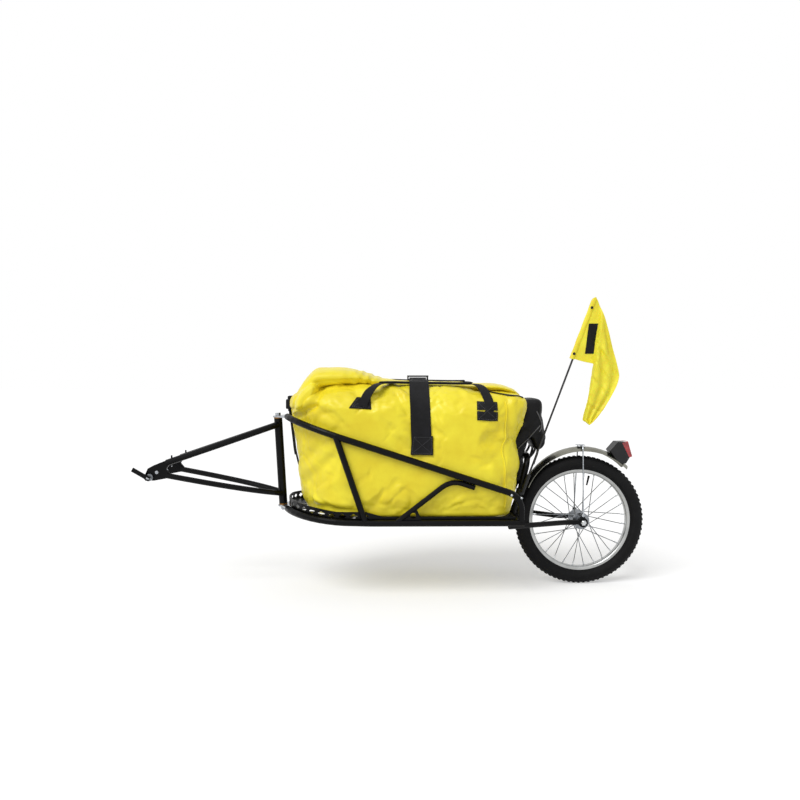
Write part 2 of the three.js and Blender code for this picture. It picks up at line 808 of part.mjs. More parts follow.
function tray_sheet_part(outline, front, back, slope) {
  const shape = new THREE.Shape(outline);
  const strand = (strand_width * Math.hypot(diamond_length, diamond_width))
    / (diamond_length * diamond_width);
  const clear_radius = tray_radius - tray_sheet - tray_rim;
  const inside = ({ x, y }) => x < back - tray_rim && x > front + tray_rim && (x > nose_centre
    ? Math.abs(y) < nose_flat + clear_radius
    : Math.hypot(x - nose_centre, Math.max(0, Math.abs(y) - nose_flat)) < clear_radius);
  const columns = Math.ceil((2 * (back - front)) / diamond_length);
  const rows = Math.ceil(frame_half_width / diamond_width);
  for (let i = 0; i <= columns; i++) {
    for (let j = -rows; j <= rows; j++) {
      const corners = tray_diamond(back - (diamond_length * (i + 1)) / 2 - tray_rim,
        diamond_width * (j + (i % 2) / 2), diamond_length * (1 - strand), diamond_width * (1 - strand));
      if (corners.every(inside)) shape.holes.push(new THREE.Path(corners));
    }
  }
  const sheet = new THREE.ExtrudeGeometry(shape, { depth: tray_sheet, bevelEnabled: false });
  const places = sheet.getAttribute("position");
  for (let i = 0; i < places.count; i++) {
    places.setZ(i, places.getZ(i) + tray_base + slope * (tray_crease - places.getX(i)));
  }
  return solid(sheet);
}

function tray_floor() {
  const last = tray_edge.length - 1;
  const rear = [...tray_edge.slice(0, crease_station + 1), ...tray_edge.slice(last - crease_station)];
  const front = tray_edge.slice(crease_station, last - crease_station + 1);
  const lap = new THREE.Vector2(tray_sheet, 0);
  const lapped = [front[0].clone().add(lap), ...front, front[front.length - 1].clone().add(lap)];
  return join(tray_sheet_part(rear, tray_crease, tray_rear, 0),
    tray_sheet_part(lapped, -nose_reach, tray_crease, tray_rise(-nose_reach) / (nose_reach + tray_crease)));
}

function tray_wall() {
  const height_at = (point) => (point.x > -front_brace_foot_reach
    ? tray_rear_wall_height : tray_wall_height);
  const corner = (point, up) => at(point.x, point.y, tray_wall_base + tray_rise(point.x) + up);
  const rings = tray_outer.map((point, i) => [corner(point, 0), corner(point, height_at(point)),
    corner(tray_inner[i], height_at(point)), corner(tray_inner[i], 0)]);
  const wall = loft(rings, flat_section(tray_sheet, tray_wall_height));
  const path = tray_outer.slice(2, -2).map((point) => corner(point, tray_wall_height / 2));
  const cutters = [];
  let spent = 0;
  for (let i = 1; i < path.length; i++) {
    const step = path[i].clone().sub(path[i - 1]);
    const length = step.length();
    const out = step.clone().setZ(0).normalize().cross(upward);
    const pose = new THREE.Matrix4().makeBasis(step.clone().setZ(0).normalize(), upward, out);
    for (; spent < length; spent += wall_diamond_pitch) {
      const prism = new THREE.ExtrudeGeometry(new THREE.Shape(tray_diamond(
        0, 0, wall_diamond_length, wall_diamond_height)), { depth: 2 * overrun, bevelEnabled: false });
      prism.translate(0, 0, -overrun);
      pose.setPosition(path[i - 1].clone().addScaledVector(step, spent / length));
      cutters.push(solid(prism.applyMatrix4(pose)));
    }
    spent -= length;
  }
  return cut(wall, ...cutters);
}

piece("floor_mesh", join(tray_floor(), tray_wall()), "black_paint");

// Rear hoop behind the load, with the bridge that holds the fender's front end
const fender_arc = (radius, angle) => at(radius * Math.cos(angle) + fender_centre_reach, 0,
  radius * Math.sin(angle) + fender_centre_height);

function fender_body(outer_radius, sheet) {
  const half_steps = 3;
  const across = Array.from({ length: 2 * half_steps + 1 }, (_, i) => i / half_steps - 1);
  const drop = (share) => fender_crown * share * share;
  const section = [...across.map((share) => [share, outer_radius - drop(share)]),
    ...[...across].reverse().map((share) => [share, outer_radius - drop(share) - sheet])];
  const arc_steps = 20;
  const rings = Array.from({ length: arc_steps + 1 }, (_, i) => {
    const angle = radians(lerp(fender_front_angle, fender_rear_angle, i / arc_steps));
    return section.map(([share, radius]) => {
      const place = fender_arc(radius, angle);
      return at(place.x, share * fender_half_width, place.z);
    });
  });
  return loft(rings, section.map(([share, radius]) => new THREE.Vector2(
    share * fender_half_width, radius)));
}

const fender_room = fender_body(fender_radius + seat_gap, light_height);
piece("fender", fender_body(fender_radius, fender_sheet), "polished_alloy");

function hoop_leg(side) {
  const y = side * hoop_half_width;
  return [at(rear_tube_run[0].x, y, floor_rail_height + rail_radius / 2), at(-hoop_knee_reach, y, hoop_knee_height),
    at(-hoop_top_reach, y, hoop_top_height)];
}

function hoop_run() {
  const [left_foot, left_knee, left_top] = hoop_leg(-1);
  const [right_foot, right_knee, right_top] = hoop_leg(1);
  return bent_run([{ place: left_foot }, { place: left_knee, radius: hoop_knee_radius },
    { place: left_top, radius: hoop_corner_radius }, { place: right_top, radius: hoop_corner_radius },
    { place: right_knee, radius: hoop_knee_radius }, { place: right_foot }]);
}

const leg_x = (height) => THREE.MathUtils.mapLinear(height, hoop_knee_height, hoop_top_height,
  -hoop_knee_reach, -hoop_top_reach);
const bridge_at = at(leg_x(bridge_height), 0, bridge_height);
const bridge = moved(bar_y(bridge_radius, -hoop_half_width, hoop_half_width, 10), bridge_at);
const bridge_lug = tube([bridge_at, fender_arc(fender_radius,
  radians(fender_front_angle - bridge_lug_lap_angle))],
  bridge_radius, 10);
piece("rear_hoop", cut(join(tube(hoop_run(), rail_radius), bridge, bridge_lug),
  rear_tube_room, fender_room), "black_paint");

// Wheel stays, rear dropouts and the wire that carries the fender
function dropout(side, spare = 0) {
  const y = side * dropout_middle;
  const thickness = dropout_thickness + 2 * spare;
  const boss = bar_y(dropout_boss_radius, y - thickness / 2, y + thickness / 2, 24);
  const tail = block(dropout_tail, thickness, dropout_tail_height + 2 * spare,
    at(-dropout_tail / 2, y, 0));
  const eyelet = moved(bar_y(eyelet_radius, y - thickness / 2, y + thickness / 2, 16),
    at(0, 0, eyelet_rise));
  const neck = block(2 * eyelet_radius, thickness, eyelet_rise, at(0, y, eyelet_rise / 2));
  const bore = bar_y(axle_radius + seat_gap, y - thickness, y + thickness, 20);
  const plate = join(boss, tail, eyelet, neck);
  return spare > 0 ? plate : cut(plate, bore);
}

function chainstay(side) {
  const axle_height = tyre_radius;
  const front_height = floor_rail_height - rail_radius - seat_gap - stay_radius;
  const y = side * dropout_middle;
  const run = bent_run([{ place: at(-stay_front_reach, side * stay_front_half_width, front_height) },
    { place: at(-stay_bend_reach, y, axle_height), radius: stay_bend_radius },
    { place: at(-stay_end_reach, y, axle_height) }]);
  const plate_room = moved(dropout(side, seat_gap), at(0, 0, tyre_radius));
  return cut(tube(run, stay_radius), plate_room, rear_tube_room);
}

for (const [word, side] of left_and_right) {
  piece("dropout_" + word, dropout(side), "polished_alloy", wheel);
  piece("chainstay_" + word, chainstay(side), "black_paint");
}

function fender_stay() {
  const eye_y = dropout_outer + seat_gap + wire_radius;
  const eye_z = tyre_radius + eyelet_rise;
  const crown_z = fender_centre_height + fender_radius + seat_gap + wire_radius;
  const legs = [-1, 1].map((side) => [at(0, side * (eye_y + wire_radius / 2), eye_z),
    at(wire_reach, side * wire_half_width, crown_z)]);
  const wire = tube(bent_run([{ place: legs[0][0] }, { place: legs[0][1], radius: wire_bend_radius },
    { place: legs[1][1], radius: wire_bend_radius }, { place: legs[1][0] }], 30), wire_radius, 8);
  const eyes = [-1, 1].map((side) => moved(bar_y(wire_eye_radius,
    side * (eye_y - wire_radius), side * (eye_y + wire_radius), 12), at(0, 0, eye_z)));
  const clip = block(clip_length, clip_width, clip_thickness,
    at(wire_reach, 0, crown_z + wire_radius));
  return join(wire, ...eyes, clip);
}

piece("fender_stay", fender_stay(), "zinc_steel");

// Tail light on the back of the fender
const light_outline_shares = [[0, 0.6], [0.35, 1], [0.72, 1], [0.92, 0.3], [0.74, 0], [0.4, 0]];
const lens_outline_shares = [[0.72, 1], [0.92, 0.3]];

function light_point([along, up]) {
  return new THREE.Vector2(light_front_reach + along * light_length,
    light_base_height + up * light_height);
}

const lens_edge = lens_outline_shares.map(light_point);
const lens_shift = new THREE.Vector2(lens_edge[0].y - lens_edge[1].y, lens_edge[1].x - lens_edge[0].x)
  .normalize();
const lens_shape = new THREE.Shape([
  ...lens_edge.map((point) => point.clone().addScaledVector(lens_shift, seat_gap)),
  ...[...lens_edge].reverse().map((point) => point.clone().addScaledVector(lens_shift, lens_thickness))]);
piece("tail_light_body", cut(plate_xz(new THREE.Shape(light_outline_shares.map(light_point)),
  2 * light_half_width, 0), fender_room), "black_plastic");
piece("tail_light_lens", cut(plate_xz(lens_shape, 2 * light_half_width, 0), fender_room), "red_lens");

// Flag on a pole that stands in a socket clamped to the left leg of the hoop
const pole_side = -(hoop_half_width + rail_radius + seat_gap + holder_wall + seat_gap + pole_radius);
const pole_foot = at(-pole_foot_reach, pole_side, pole_foot_height);
const pole_way = at(Math.sin(radians(pole_lean)), 0, Math.cos(radians(pole_lean)));
const on_pole = (length) => pole_foot.clone().addScaledVector(pole_way, length);
const band_at = at(leg_x(holder_band_height), -hoop_half_width, holder_band_height);
const leg_way = hoop_leg(-1)[2].sub(hoop_leg(-1)[1]).normalize();
const along_leg = (length) => band_at.clone().addScaledVector(leg_way, length);
const holder_radius = rail_radius + seat_gap + holder_wall;
const socket_radius = pole_radius + seat_gap + holder_wall;
const holder_band_body = tube([along_leg(-holder_band / 2), along_leg(holder_band / 2)],
  holder_radius, 20);
const socket_body = tube([on_pole(-holder_floor), on_pole(holder_length - holder_floor)],
  socket_radius, 16);
const leg_room = tube(hoop_run(), rail_radius + seat_gap);
const pole_room = tube([on_pole(-seat_gap), on_pole(pole_length)], pole_radius + seat_gap, 12);
piece("flag_holder", cut(join(holder_band_body, socket_body), leg_room, pole_room), "black_plastic");
piece("flag_pole", tube([on_pole(0), on_pole(pole_length)], pole_radius, 12), "black_fibreglass");

// The pennant: rows of top and bottom edge, as shares of its spread and its drop
const flag_edge_shares = [
  [0.49, 0, 0.045, 0.47], [0.61, 0.06, 0.22, 0.495], [0.71, 0.2, 0.36, 0.517],
  [0.83, 0.37, 0.44, 0.538], [0.94, 0.52, 0.41, 0.61], [1, 0.62, 0.37, 0.7],
  [0.95, 0.7, 0.3, 0.8], [0.75, 0.81, 0.23, 0.91], [0.58, 0.9, 0.23, 0.955], [0.4, 0.98, 0.33, 1]];

function flag() {
  const top = on_pole(pole_length + flag_top_spare);
  const bottom = on_pole(pole_length + flag_top_spare - flag_hoist);
  const left_edge = top.x - flag_edge_shares[0][0] * flag_spread;
  const steps = 6;
  const rings = flag_edge_shares.map(([top_x, top_z, low_x, low_z], i) => {
    const share = i / (flag_edge_shares.length - 1);
    const row = Array.from({ length: steps + 1 }, (_, j) => {
      const down = j / steps;
      const fold = Math.sin(2 * Math.PI * (down + share)) * Math.min(1, 3 * share, 3 * (1 - share));
      return at(left_edge + lerp(top_x, low_x, down) * flag_spread,
        pole_side + flag_fold_depth * fold, top.z - lerp(top_z, low_z, down) * flag_drop);
    });
    const face = (shift) => row.map((point) => point.clone().setY(point.y + shift));
    return [...face(flag_sheet / 2), ...face(-flag_sheet / 2).reverse()];
  });
  const strip = Array.from({ length: steps + 1 }, (_, j) => j / steps);
  const outline = [...strip.map((down) => new THREE.Vector2(down, flag_sheet)),
    ...[...strip].reverse().map((down) => new THREE.Vector2(down, 0))];
  const sleeve = tube([bottom, top], pole_radius + seat_gap + flag_sleeve_wall, 12);
  return cut(join(loft(rings, outline), sleeve), pole_room);
}

piece("flag", flag(), "yellow_flag_cloth");

// Fork: two arms a side from the pivot tube to the hitch plates
const fork_plate_shares = [[-0.19, -0.16], [-0.19, 0.13], [-0.08, 0.42], [0.17, 0.58],
  [0.69, 0.82], [0.83, 0.66], [0.69, 0.4], [0.86, 0.16], [0.8, -0.03], [0.19, -0.16]];

function fork_plate(side, spare = 0) {
  const outline = fork_plate_shares.map(([x, z]) => new THREE.Vector2(
    x * fork_plate_length, z * fork_plate_height));
  const y = side * fork_half_width;
  const plate = plate_xz(new THREE.Shape(outline), fork_plate_thickness + 2 * spare, y);
  if (spare > 0) return moved(plate, hitch.position);
  const waist = bobbin_waist_radius + seat_gap;
  const reach = fork_plate_thickness;
  const seat = bar_y(waist, y - reach, y + reach, 20);
  const mouth = block(2 * waist, 2 * reach, fork_plate_height, at(0, y, -fork_plate_height / 2));
  const pin_hole = moved(bar_y(retaining_pin_radius + seat_gap, y - reach, y + reach, 12),
    at(retaining_pin_setback, 0, retaining_pin_rise));
  return cut(plate, seat, mouth, pin_hole);
}

function fork_arm(side, front_height, root_height, radius, peg) {
  const root_x = lerp(-pivot_foot_reach, -pivot_top_reach,
    (root_height - lower_plate_height) / (upper_plate_height - lower_plate_height));
  const plan = new THREE.CubicBezierCurve(
    new THREE.Vector2(-fork_end_reach, fork_half_width),
    new THREE.Vector2(fork_straight - fork_end_reach, fork_half_width),
    new THREE.Vector2(root_x - fork_root_length, fork_waist_half_width),
    new THREE.Vector2(root_x, fork_root_half_width));
  const stations = plan.getPoints(10).map((point) => at(point.x, side * point.y,
    THREE.MathUtils.mapLinear(point.x, -fork_end_reach, root_x, front_height, root_height)));
  const arm = tube(stations, radius);
  const room = leaned(upright(round_shape(pivot_tube_radius + seat_gap, 24), 0, pivot_length));
  const bar = cut(arm, room, fork_plate(side, seat_gap));
  if (!peg) return bar;
  const foot = stations[0].clone().lerp(stations[1], lanyard_peg_setback
    / stations[0].distanceTo(stations[1]));
  const top = foot.clone().addScaledVector(upward, radius + lanyard_peg_height);
  return join(bar, tube([foot.addScaledVector(upward, radius / 2), top], lanyard_peg_radius, 8));
}

for (const [word, side] of left_and_right) {
  piece("fork_upper_arm_" + word, fork_arm(side, fork_upper_front_height, fork_upper_pivot_height,
    fork_upper_radius, true), "black_paint");
  piece("fork_lower_arm_" + word, fork_arm(side, fork_lower_front_height, fork_lower_pivot_height,
    fork_lower_radius, false), "black_paint");
  piece("fork_dropout_" + word, fork_plate(side), "black_paint", hitch);
}

// Hitch: a skewer through two bobbins that sit in the slots of the fork's plates
const waist_half = fork_plate_thickness / 2 + running_gap;
const bobbin_inner_face = fork_half_width - waist_half - bobbin_inner_flange;
const bobbin_outer_face = fork_half_width + waist_half + bobbin_outer_flange;
const skewer_bore = skewer_radius + seat_gap;
const housing_face = bobbin_outer_face + seat_gap + housing_length;
const lever_pin_place = housing_face + seat_gap + lever_cheek_radius;
const nut_face = bobbin_outer_face + seat_gap;

function bobbin(side) {
  const profile = [[skewer_bore, bobbin_inner_face], [bobbin_flange_radius, bobbin_inner_face],
    [bobbin_flange_radius, fork_half_width - waist_half],
    [bobbin_waist_radius, fork_half_width - waist_half],
    [bobbin_waist_radius, fork_half_width + waist_half],
    [bobbin_flange_radius, fork_half_width + waist_half],
    [bobbin_flange_radius, bobbin_outer_face], [skewer_bore, bobbin_outer_face],
    [skewer_bore, bobbin_inner_face]];
  return revolve(profile.map(([radius, place]) => [radius, side * place]), 18);
}

const collar = (radius, from, to, sides) => cut(bar_y(radius, from, to, sides),
  bar_y(skewer_bore, Math.min(from, to) - overrun, Math.max(from, to) + overrun, 12));

for (const [word, side] of left_and_right) piece("bobbin_" + word, bobbin(side), "zinc_steel", hitch);
piece("skewer_housing",
  collar(housing_radius, -bobbin_outer_face - seat_gap, -housing_face, 20), "zinc_steel", hitch);
piece("skewer_nut", collar(skewer_nut_radius, nut_face, nut_face + skewer_nut_length, 14),
  "zinc_steel", hitch);

// The lever turns on a cross pin through the eye at the skewer's end
const lever_pose = new THREE.Matrix4().makeRotationY(radians(lever_rise_angle));
lever_pose.setPosition(0, -lever_pin_place, 0);
const posed = (geometry) => solid(geometry.applyMatrix4(lever_pose));

function cross_bar(radius, half_length, sides = 16) {
  return new THREE.CylinderGeometry(radius, radius, 2 * half_length, sides).rotateX(Math.PI / 2);
}

const skewer_rod = join(
  bar_y(skewer_radius, -lever_pin_place, nut_face + skewer_nut_length + pin_tip, 12),
  posed(cross_bar(eye_radius, eye_thickness / 2)));
const eye_bore = posed(cross_bar(lever_pin_radius + seat_gap, eye_thickness));
piece("skewer_rod", cut(skewer_rod, eye_bore), "zinc_steel", hitch);

const cheek_start = eye_thickness / 2 + seat_gap;
const cheek_end = cheek_start + lever_cheek;

function lever() {
  const cheeks = [-1, 1].map((side) => posed(
    cross_bar(lever_cheek_radius, lever_cheek / 2).translate(0, 0, side * (cheek_start + cheek_end) / 2)));
  const pin = posed(cross_bar(lever_pin_radius, cheek_end - seat_gap, 12));
  const neck_start = lever_cheek_radius - lever_neck_lap;
  const paddle_length = lever_length - neck_start;
  const paddle = posed(new THREE.BoxGeometry(paddle_length, lever_thickness, 2 * cheek_end)
    .translate(-neck_start - paddle_length / 2, 0, 0));
  return join(...cheeks, pin, paddle);
}

piece("skewer_lever", lever(), "black_paint", hitch);

function retaining_pin(side) {
  const outside = fork_half_width + fork_plate_thickness / 2 + seat_gap;
  const inside = fork_half_width - fork_plate_thickness / 2 - retaining_pin_grip;
  const shank = bar_y(retaining_pin_radius, side * inside, side * outside, 12);
  const head = bar_y(retaining_pin_head_radius, side * outside,
    side * (outside + retaining_pin_head), 16);
  return moved(join(shank, head), at(retaining_pin_setback, 0, retaining_pin_rise));
}

for (const [word, side] of left_and_right) {
  piece("retaining_pin_" + word, retaining_pin(side), "zinc_steel", hitch);
}

// Dry bag: rings from base to top, as shares of its height, length and half width
const bag_ring_shares = [
  [0, 0.2735, 0.097, 0.806], [0.033, 0.1044, 0.0735, 0.946], [0.109, 0.0647, 0.0618, 0.978],
  [0.253, 0.0456, 0.053, 1], [0.438, 0.0309, 0.038, 1], [0.621, 0.0118, 0.041, 1],
  [0.779, 0, 0.0176, 0.995], [0.84, 0.003, 0.0056, 0.985], [0.878, 0.0147, 0, 0.95],
  [0.92, 0.044, 0.009, 0.885], [0.957, 0.088, 0.03, 0.775], [0.983, 0.138, 0.07, 0.62],
  [1, 0.197, 0.13, 0.43]];
const bag_length = bag_front_reach - bag_rear_reach;
const bag_base = tray_base + tray_sheet + seat_gap;
const bag_top = bag_base + bag_height;
const bag_height_at = (rise) => bag_base + rise * bag_height;

function bag_ring([rise, front, rear, wide]) {
  const nose = -bag_front_reach + front * bag_length;
  const tail = -bag_rear_reach - rear * bag_length;
  const half = wide * bag_half_width;
  const quarter = (steps, place) => Array.from({ length: steps + 1 }, (_, i) => {
    const angle = (Math.PI / 2) * (i / steps);
    return place(Math.sin(angle), Math.cos(angle));
  });
  const right = [
    ...quarter(6, (sin, cos) => [nose + bag_front_round * (1 - cos), half * sin]),
    ...quarter(3, (sin, cos) => [tail - bag_rear_round * (1 - sin), half - bag_rear_round * (1 - cos)])];
  const left = right.slice(1).reverse().map(([x, y]) => [x, -y]);
  return [...right, ...left].map(([x, y]) => at(x, y, bag_height_at(rise)));
}

// The value of a column at one place down a table of rows
function between_rows(rows, place, value) {
  const next = Math.max(1, rows.findIndex(([along]) => along >= place));
  const [low, high] = [rows[next - 1], rows[next]];
  return THREE.MathUtils.mapLinear(place, low[0], high[0], value(low), value(high));
}

const bag_half_width_at = (height) => bag_half_width
  * between_rows(bag_ring_shares, (height - bag_base) / bag_height, ([, , , wide]) => wide);

const strap_lift = seat_gap + webbing / 2;
const bag_rings = bag_ring_shares.map(bag_ring);
const bag_plan = bag_rings[0].map((point) => new THREE.Vector2(point.x, point.y));
const bag = loft(bag_rings, bag_plan);
piece("bag", bag, "yellow_coated_cloth");

// Rolled closure: place along, middle above the bag, thickness and width, all as shares
const roll_shares = [
  [0.006, -0.63, 0.29, 0.42], [0.0235, -0.434, 0.57, 0.72], [0.047, -0.166, 0.79, 0.95],
  [0.0735, 0.138, 0.857, 1], [0.112, 0.441, 0.893, 1], [0.156, 0.53, 0.911, 1],
  [0.254, 0.53, 0.893, 1], [0.309, 0.405, 0.804, 1], [0.385, 0.209, 0.643, 1],
  [0.494, 0.102, 0.482, 1], [0.585, 0.048, 0.43, 1], [0.849, -0.059, 0.357, 0.9],
  [0.907, -0.13, 0.464, 0.82], [0.956, -0.327, 0.393, 0.66], [0.994, -0.595, 0.214, 0.4]];

function bag_roll() {
  const roll = ribbon(roll_shares.map(([along, middle, thick, wide]) => ({
    place: at(along * bag_length - bag_front_reach, 0, bag_top + middle * roll_height),
    across: sideways,
    swell: thick * roll_height,
    spread: wide * roll_width,
  })), ring_points(0.5, 12));
  return cut(roll, moved(bag, at(0, 0, running_gap)));
}

piece("bag_roll", bag_roll(), "yellow_coated_cloth");

const roll_top_at = (reach) => bag_top + roll_height * between_rows(roll_shares,
  (bag_front_reach - reach) / bag_length, ([, middle, thick]) => middle + thick / 2);
const handle_line_share = 0.51;
const handle_side = bag_half_width_at(handle_foot_height) + strap_lift;
const handle_line = handle_line_share * handle_side;

// Centre strap over the bag, its handles and its roll, sewn to a patch on each side
const buckle_seat_share = 0.3;

function centre_strap() {
  const side = bag_ring_shares
    .map(([rise, , , wide]) => [wide * bag_half_width + strap_lift, bag_height_at(rise) + strap_lift])
    .filter(([y, z]) => z > centre_strap_foot_height + centre_patch_height / 2 && y > handle_line
      + handle_width);
  const over_handle = handle_top_height + webbing / 2 + strap_lift;
  const roll_top = roll_top_at(centre_strap_reach + centre_strap_width / 2) + strap_lift;
  const half = [[bag_half_width + strap_lift, centre_strap_foot_height], ...side,
    [handle_line + handle_width / 2 + strap_lift, over_handle],
    [handle_line - handle_width / 2, over_handle], [buckle_seat_share * roll_width, roll_top]];
  const path = [...half, ...half.map(([y, z]) => [-y, z]).reverse()];
  const band = ribbon(path.map(([y, z]) => ({
    place: at(-centre_strap_reach, y, z), across: at(1, 0, 0) })),
  flat_section(centre_strap_width, webbing));
  const patches = [-1, 1].map((side_sign) => block(centre_patch_width, webbing, centre_patch_height,
    at(-centre_strap_reach, side_sign * (bag_half_width + strap_lift),
      centre_strap_foot_height + centre_patch_height / 2)));
  const buckle_at = at(-centre_strap_reach, 0,
    roll_top + webbing / 2 + seat_gap + centre_buckle_height / 2);
  piece("centre_strap", join(band, ...patches), "black_webbing");
  piece("centre_buckle", block(centre_buckle_length, centre_buckle_width, centre_buckle_height,
    buckle_at), "black_plastic");
}

centre_strap();

// Carrying handle: up the side, twisting to lie flat along the top, and down again
const handle_shares = [[0, 1, 0, 0], [0.02, 0.995, 0.5, 0], [0.05, 0.96, 0.66, 0],
  [0.11, 0.84, 0.87, 0.15], [0.2, 0.62, 0.96, 0.75], [0.36, handle_line_share, 1, 1]];

function handle() {
  const rise = handle_top_height - handle_foot_height;
  const middle = (handle_front_reach + handle_rear_reach) / 2;
  const reach = (handle_front_reach - handle_rear_reach) / 2;
  const half = handle_shares.map(([along, out, up, turn]) => ({
    place: at(reach * (1 - along), -out * handle_side, handle_foot_height + up * rise),
    across: at(Math.cos((turn * Math.PI) / 2), Math.sin((turn * Math.PI) / 2), 0) }));
  const other = half.map(({ place, across }) => ({
    place: place.clone().setX(-place.x), across: across.clone().setX(-across.x) })).reverse();
  const band = ribbon([...half, ...other], flat_section(handle_width, webbing));
  const patches = [-1, 1].map((end) => block(handle_patch_width, webbing, handle_patch_height,
    at(end * reach, -handle_side, handle_foot_height + handle_patch_height / 2)));
  return moved(join(band, ...patches), at(-middle, 0, 0));
}

piece("handle_left", handle(), "black_webbing");
piece("handle_right", handle().mirror([0, 1, 0]), "black_webbing");

// Front closure: webbing down the bag's nose with a side-release buckle
function front_closure() {
  const path = bag_ring_shares
    .map(([rise, front]) => at(front * bag_length - bag_front_reach - strap_lift, 0,
      bag_height_at(rise)))
    .filter(({ z }) => z > front_strap_foot_height && z < front_strap_top_height);
  const band = ribbon(path.map((place) => ({ place, across: sideways })),
    flat_section(front_strap_width, webbing));
  return join(band, block(front_buckle_depth, front_buckle_width, front_buckle_height,
    at(-front_buckle_reach, 0, front_buckle_base_height + front_buckle_height / 2)));
}

piece("front_closure", front_closure(), "black_webbing");

// Pouch on the bag's rear, outlined from the side
const pouch_shares = [[0, 0.11], [0, 0.35], [0.131, 0.737], [0.227, 0.94], [0.28, 1], [0.845, 1],
  [0.94, 0.468], [1, 0.31], [0.95, 0.1], [0.83, 0], [0.73, 0.03], [0.615, 0.15], [0.474, 0.03],
  [0.32, 0], [0.04, 0.07]];
piece("rear_pouch", plate_xz(new THREE.Shape(pouch_shares.map(([along, up]) => new THREE.Vector2(
  -pouch_rear_reach - (1 - along) * pouch_depth, pouch_base_height + up * pouch_height))),
2 * pouch_half_width, 0), "black_webbing");

// The finished part stands with its middle over the origin
const part = new THREE.Group();
part.add(trailer);
trailer.updateMatrixWorld(true);
const bounds = new THREE.Box3().setFromObject(trailer);
const middle = bounds.getCenter(new THREE.Vector3());
trailer.position.set(-middle.x, -middle.y, -bounds.min.z);

export default part;
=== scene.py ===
import json
import math

import bmesh
import bpy
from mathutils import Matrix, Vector, noise
from mathutils.bvhtree import BVHTree


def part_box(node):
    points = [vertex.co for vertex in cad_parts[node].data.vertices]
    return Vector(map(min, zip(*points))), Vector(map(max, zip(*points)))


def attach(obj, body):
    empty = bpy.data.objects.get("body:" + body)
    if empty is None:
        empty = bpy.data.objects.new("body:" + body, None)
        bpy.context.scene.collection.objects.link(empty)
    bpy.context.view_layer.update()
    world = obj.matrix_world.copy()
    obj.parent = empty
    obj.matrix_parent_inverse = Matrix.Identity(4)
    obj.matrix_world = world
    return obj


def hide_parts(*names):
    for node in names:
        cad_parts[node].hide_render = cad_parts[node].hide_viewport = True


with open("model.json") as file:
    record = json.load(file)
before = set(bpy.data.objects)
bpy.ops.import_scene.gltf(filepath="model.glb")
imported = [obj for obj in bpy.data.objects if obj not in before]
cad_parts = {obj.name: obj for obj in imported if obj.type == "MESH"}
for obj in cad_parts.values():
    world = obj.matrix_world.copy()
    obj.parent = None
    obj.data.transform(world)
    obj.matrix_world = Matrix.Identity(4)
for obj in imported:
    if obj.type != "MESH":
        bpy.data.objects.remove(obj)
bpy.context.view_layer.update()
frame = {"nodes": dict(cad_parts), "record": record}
nodes = frame["nodes"]
scene = bpy.context.scene

# Places are in millimetres from the wheel axle: X to the rear, Y to the right, Z up from the ground
mm = 0.001
axleLow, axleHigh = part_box("axle")
axleX = (axleLow.x + axleHigh.x) / 2


def at(x, y, z):
    return Vector((axleX + x * mm, y * mm, z * mm))


def back(point):
    # a point of the scene in the same millimetres as at()
    return (point.x - axleX) / mm, point.y / mm, point.z / mm


# ---- finishes

def hexColour(code):
    # sRGB hex to the linear colour that the shader takes
    linear = []
    for i in (0, 2, 4):
        c = int(code[i:i + 2], 16) / 255
        linear.append(c / 12.92 if c <= 0.04045 else ((c + 0.055) / 1.055) ** 2.4)
    return linear + [1]


def addNode(tree, kind, inputs=None, stops=None, **settings):
    # an input takes a value, or the output of another node
    node = tree.nodes.new("ShaderNode" + kind)
    for name, value in settings.items():
        setattr(node, name, value)
    for place, value in (inputs or {}).items():
        if isinstance(value, bpy.types.NodeSocket):
            tree.links.new(value, node.inputs[place])
        else:
            node.inputs[place].default_value = value
    if stops:
        ramp = node.color_ramp
        while len(ramp.elements) < len(stops):
            ramp.elements.new(1)
        for element, (share, colour) in zip(ramp.elements, stops):
            element.position = share
            element.color = colour
    return node


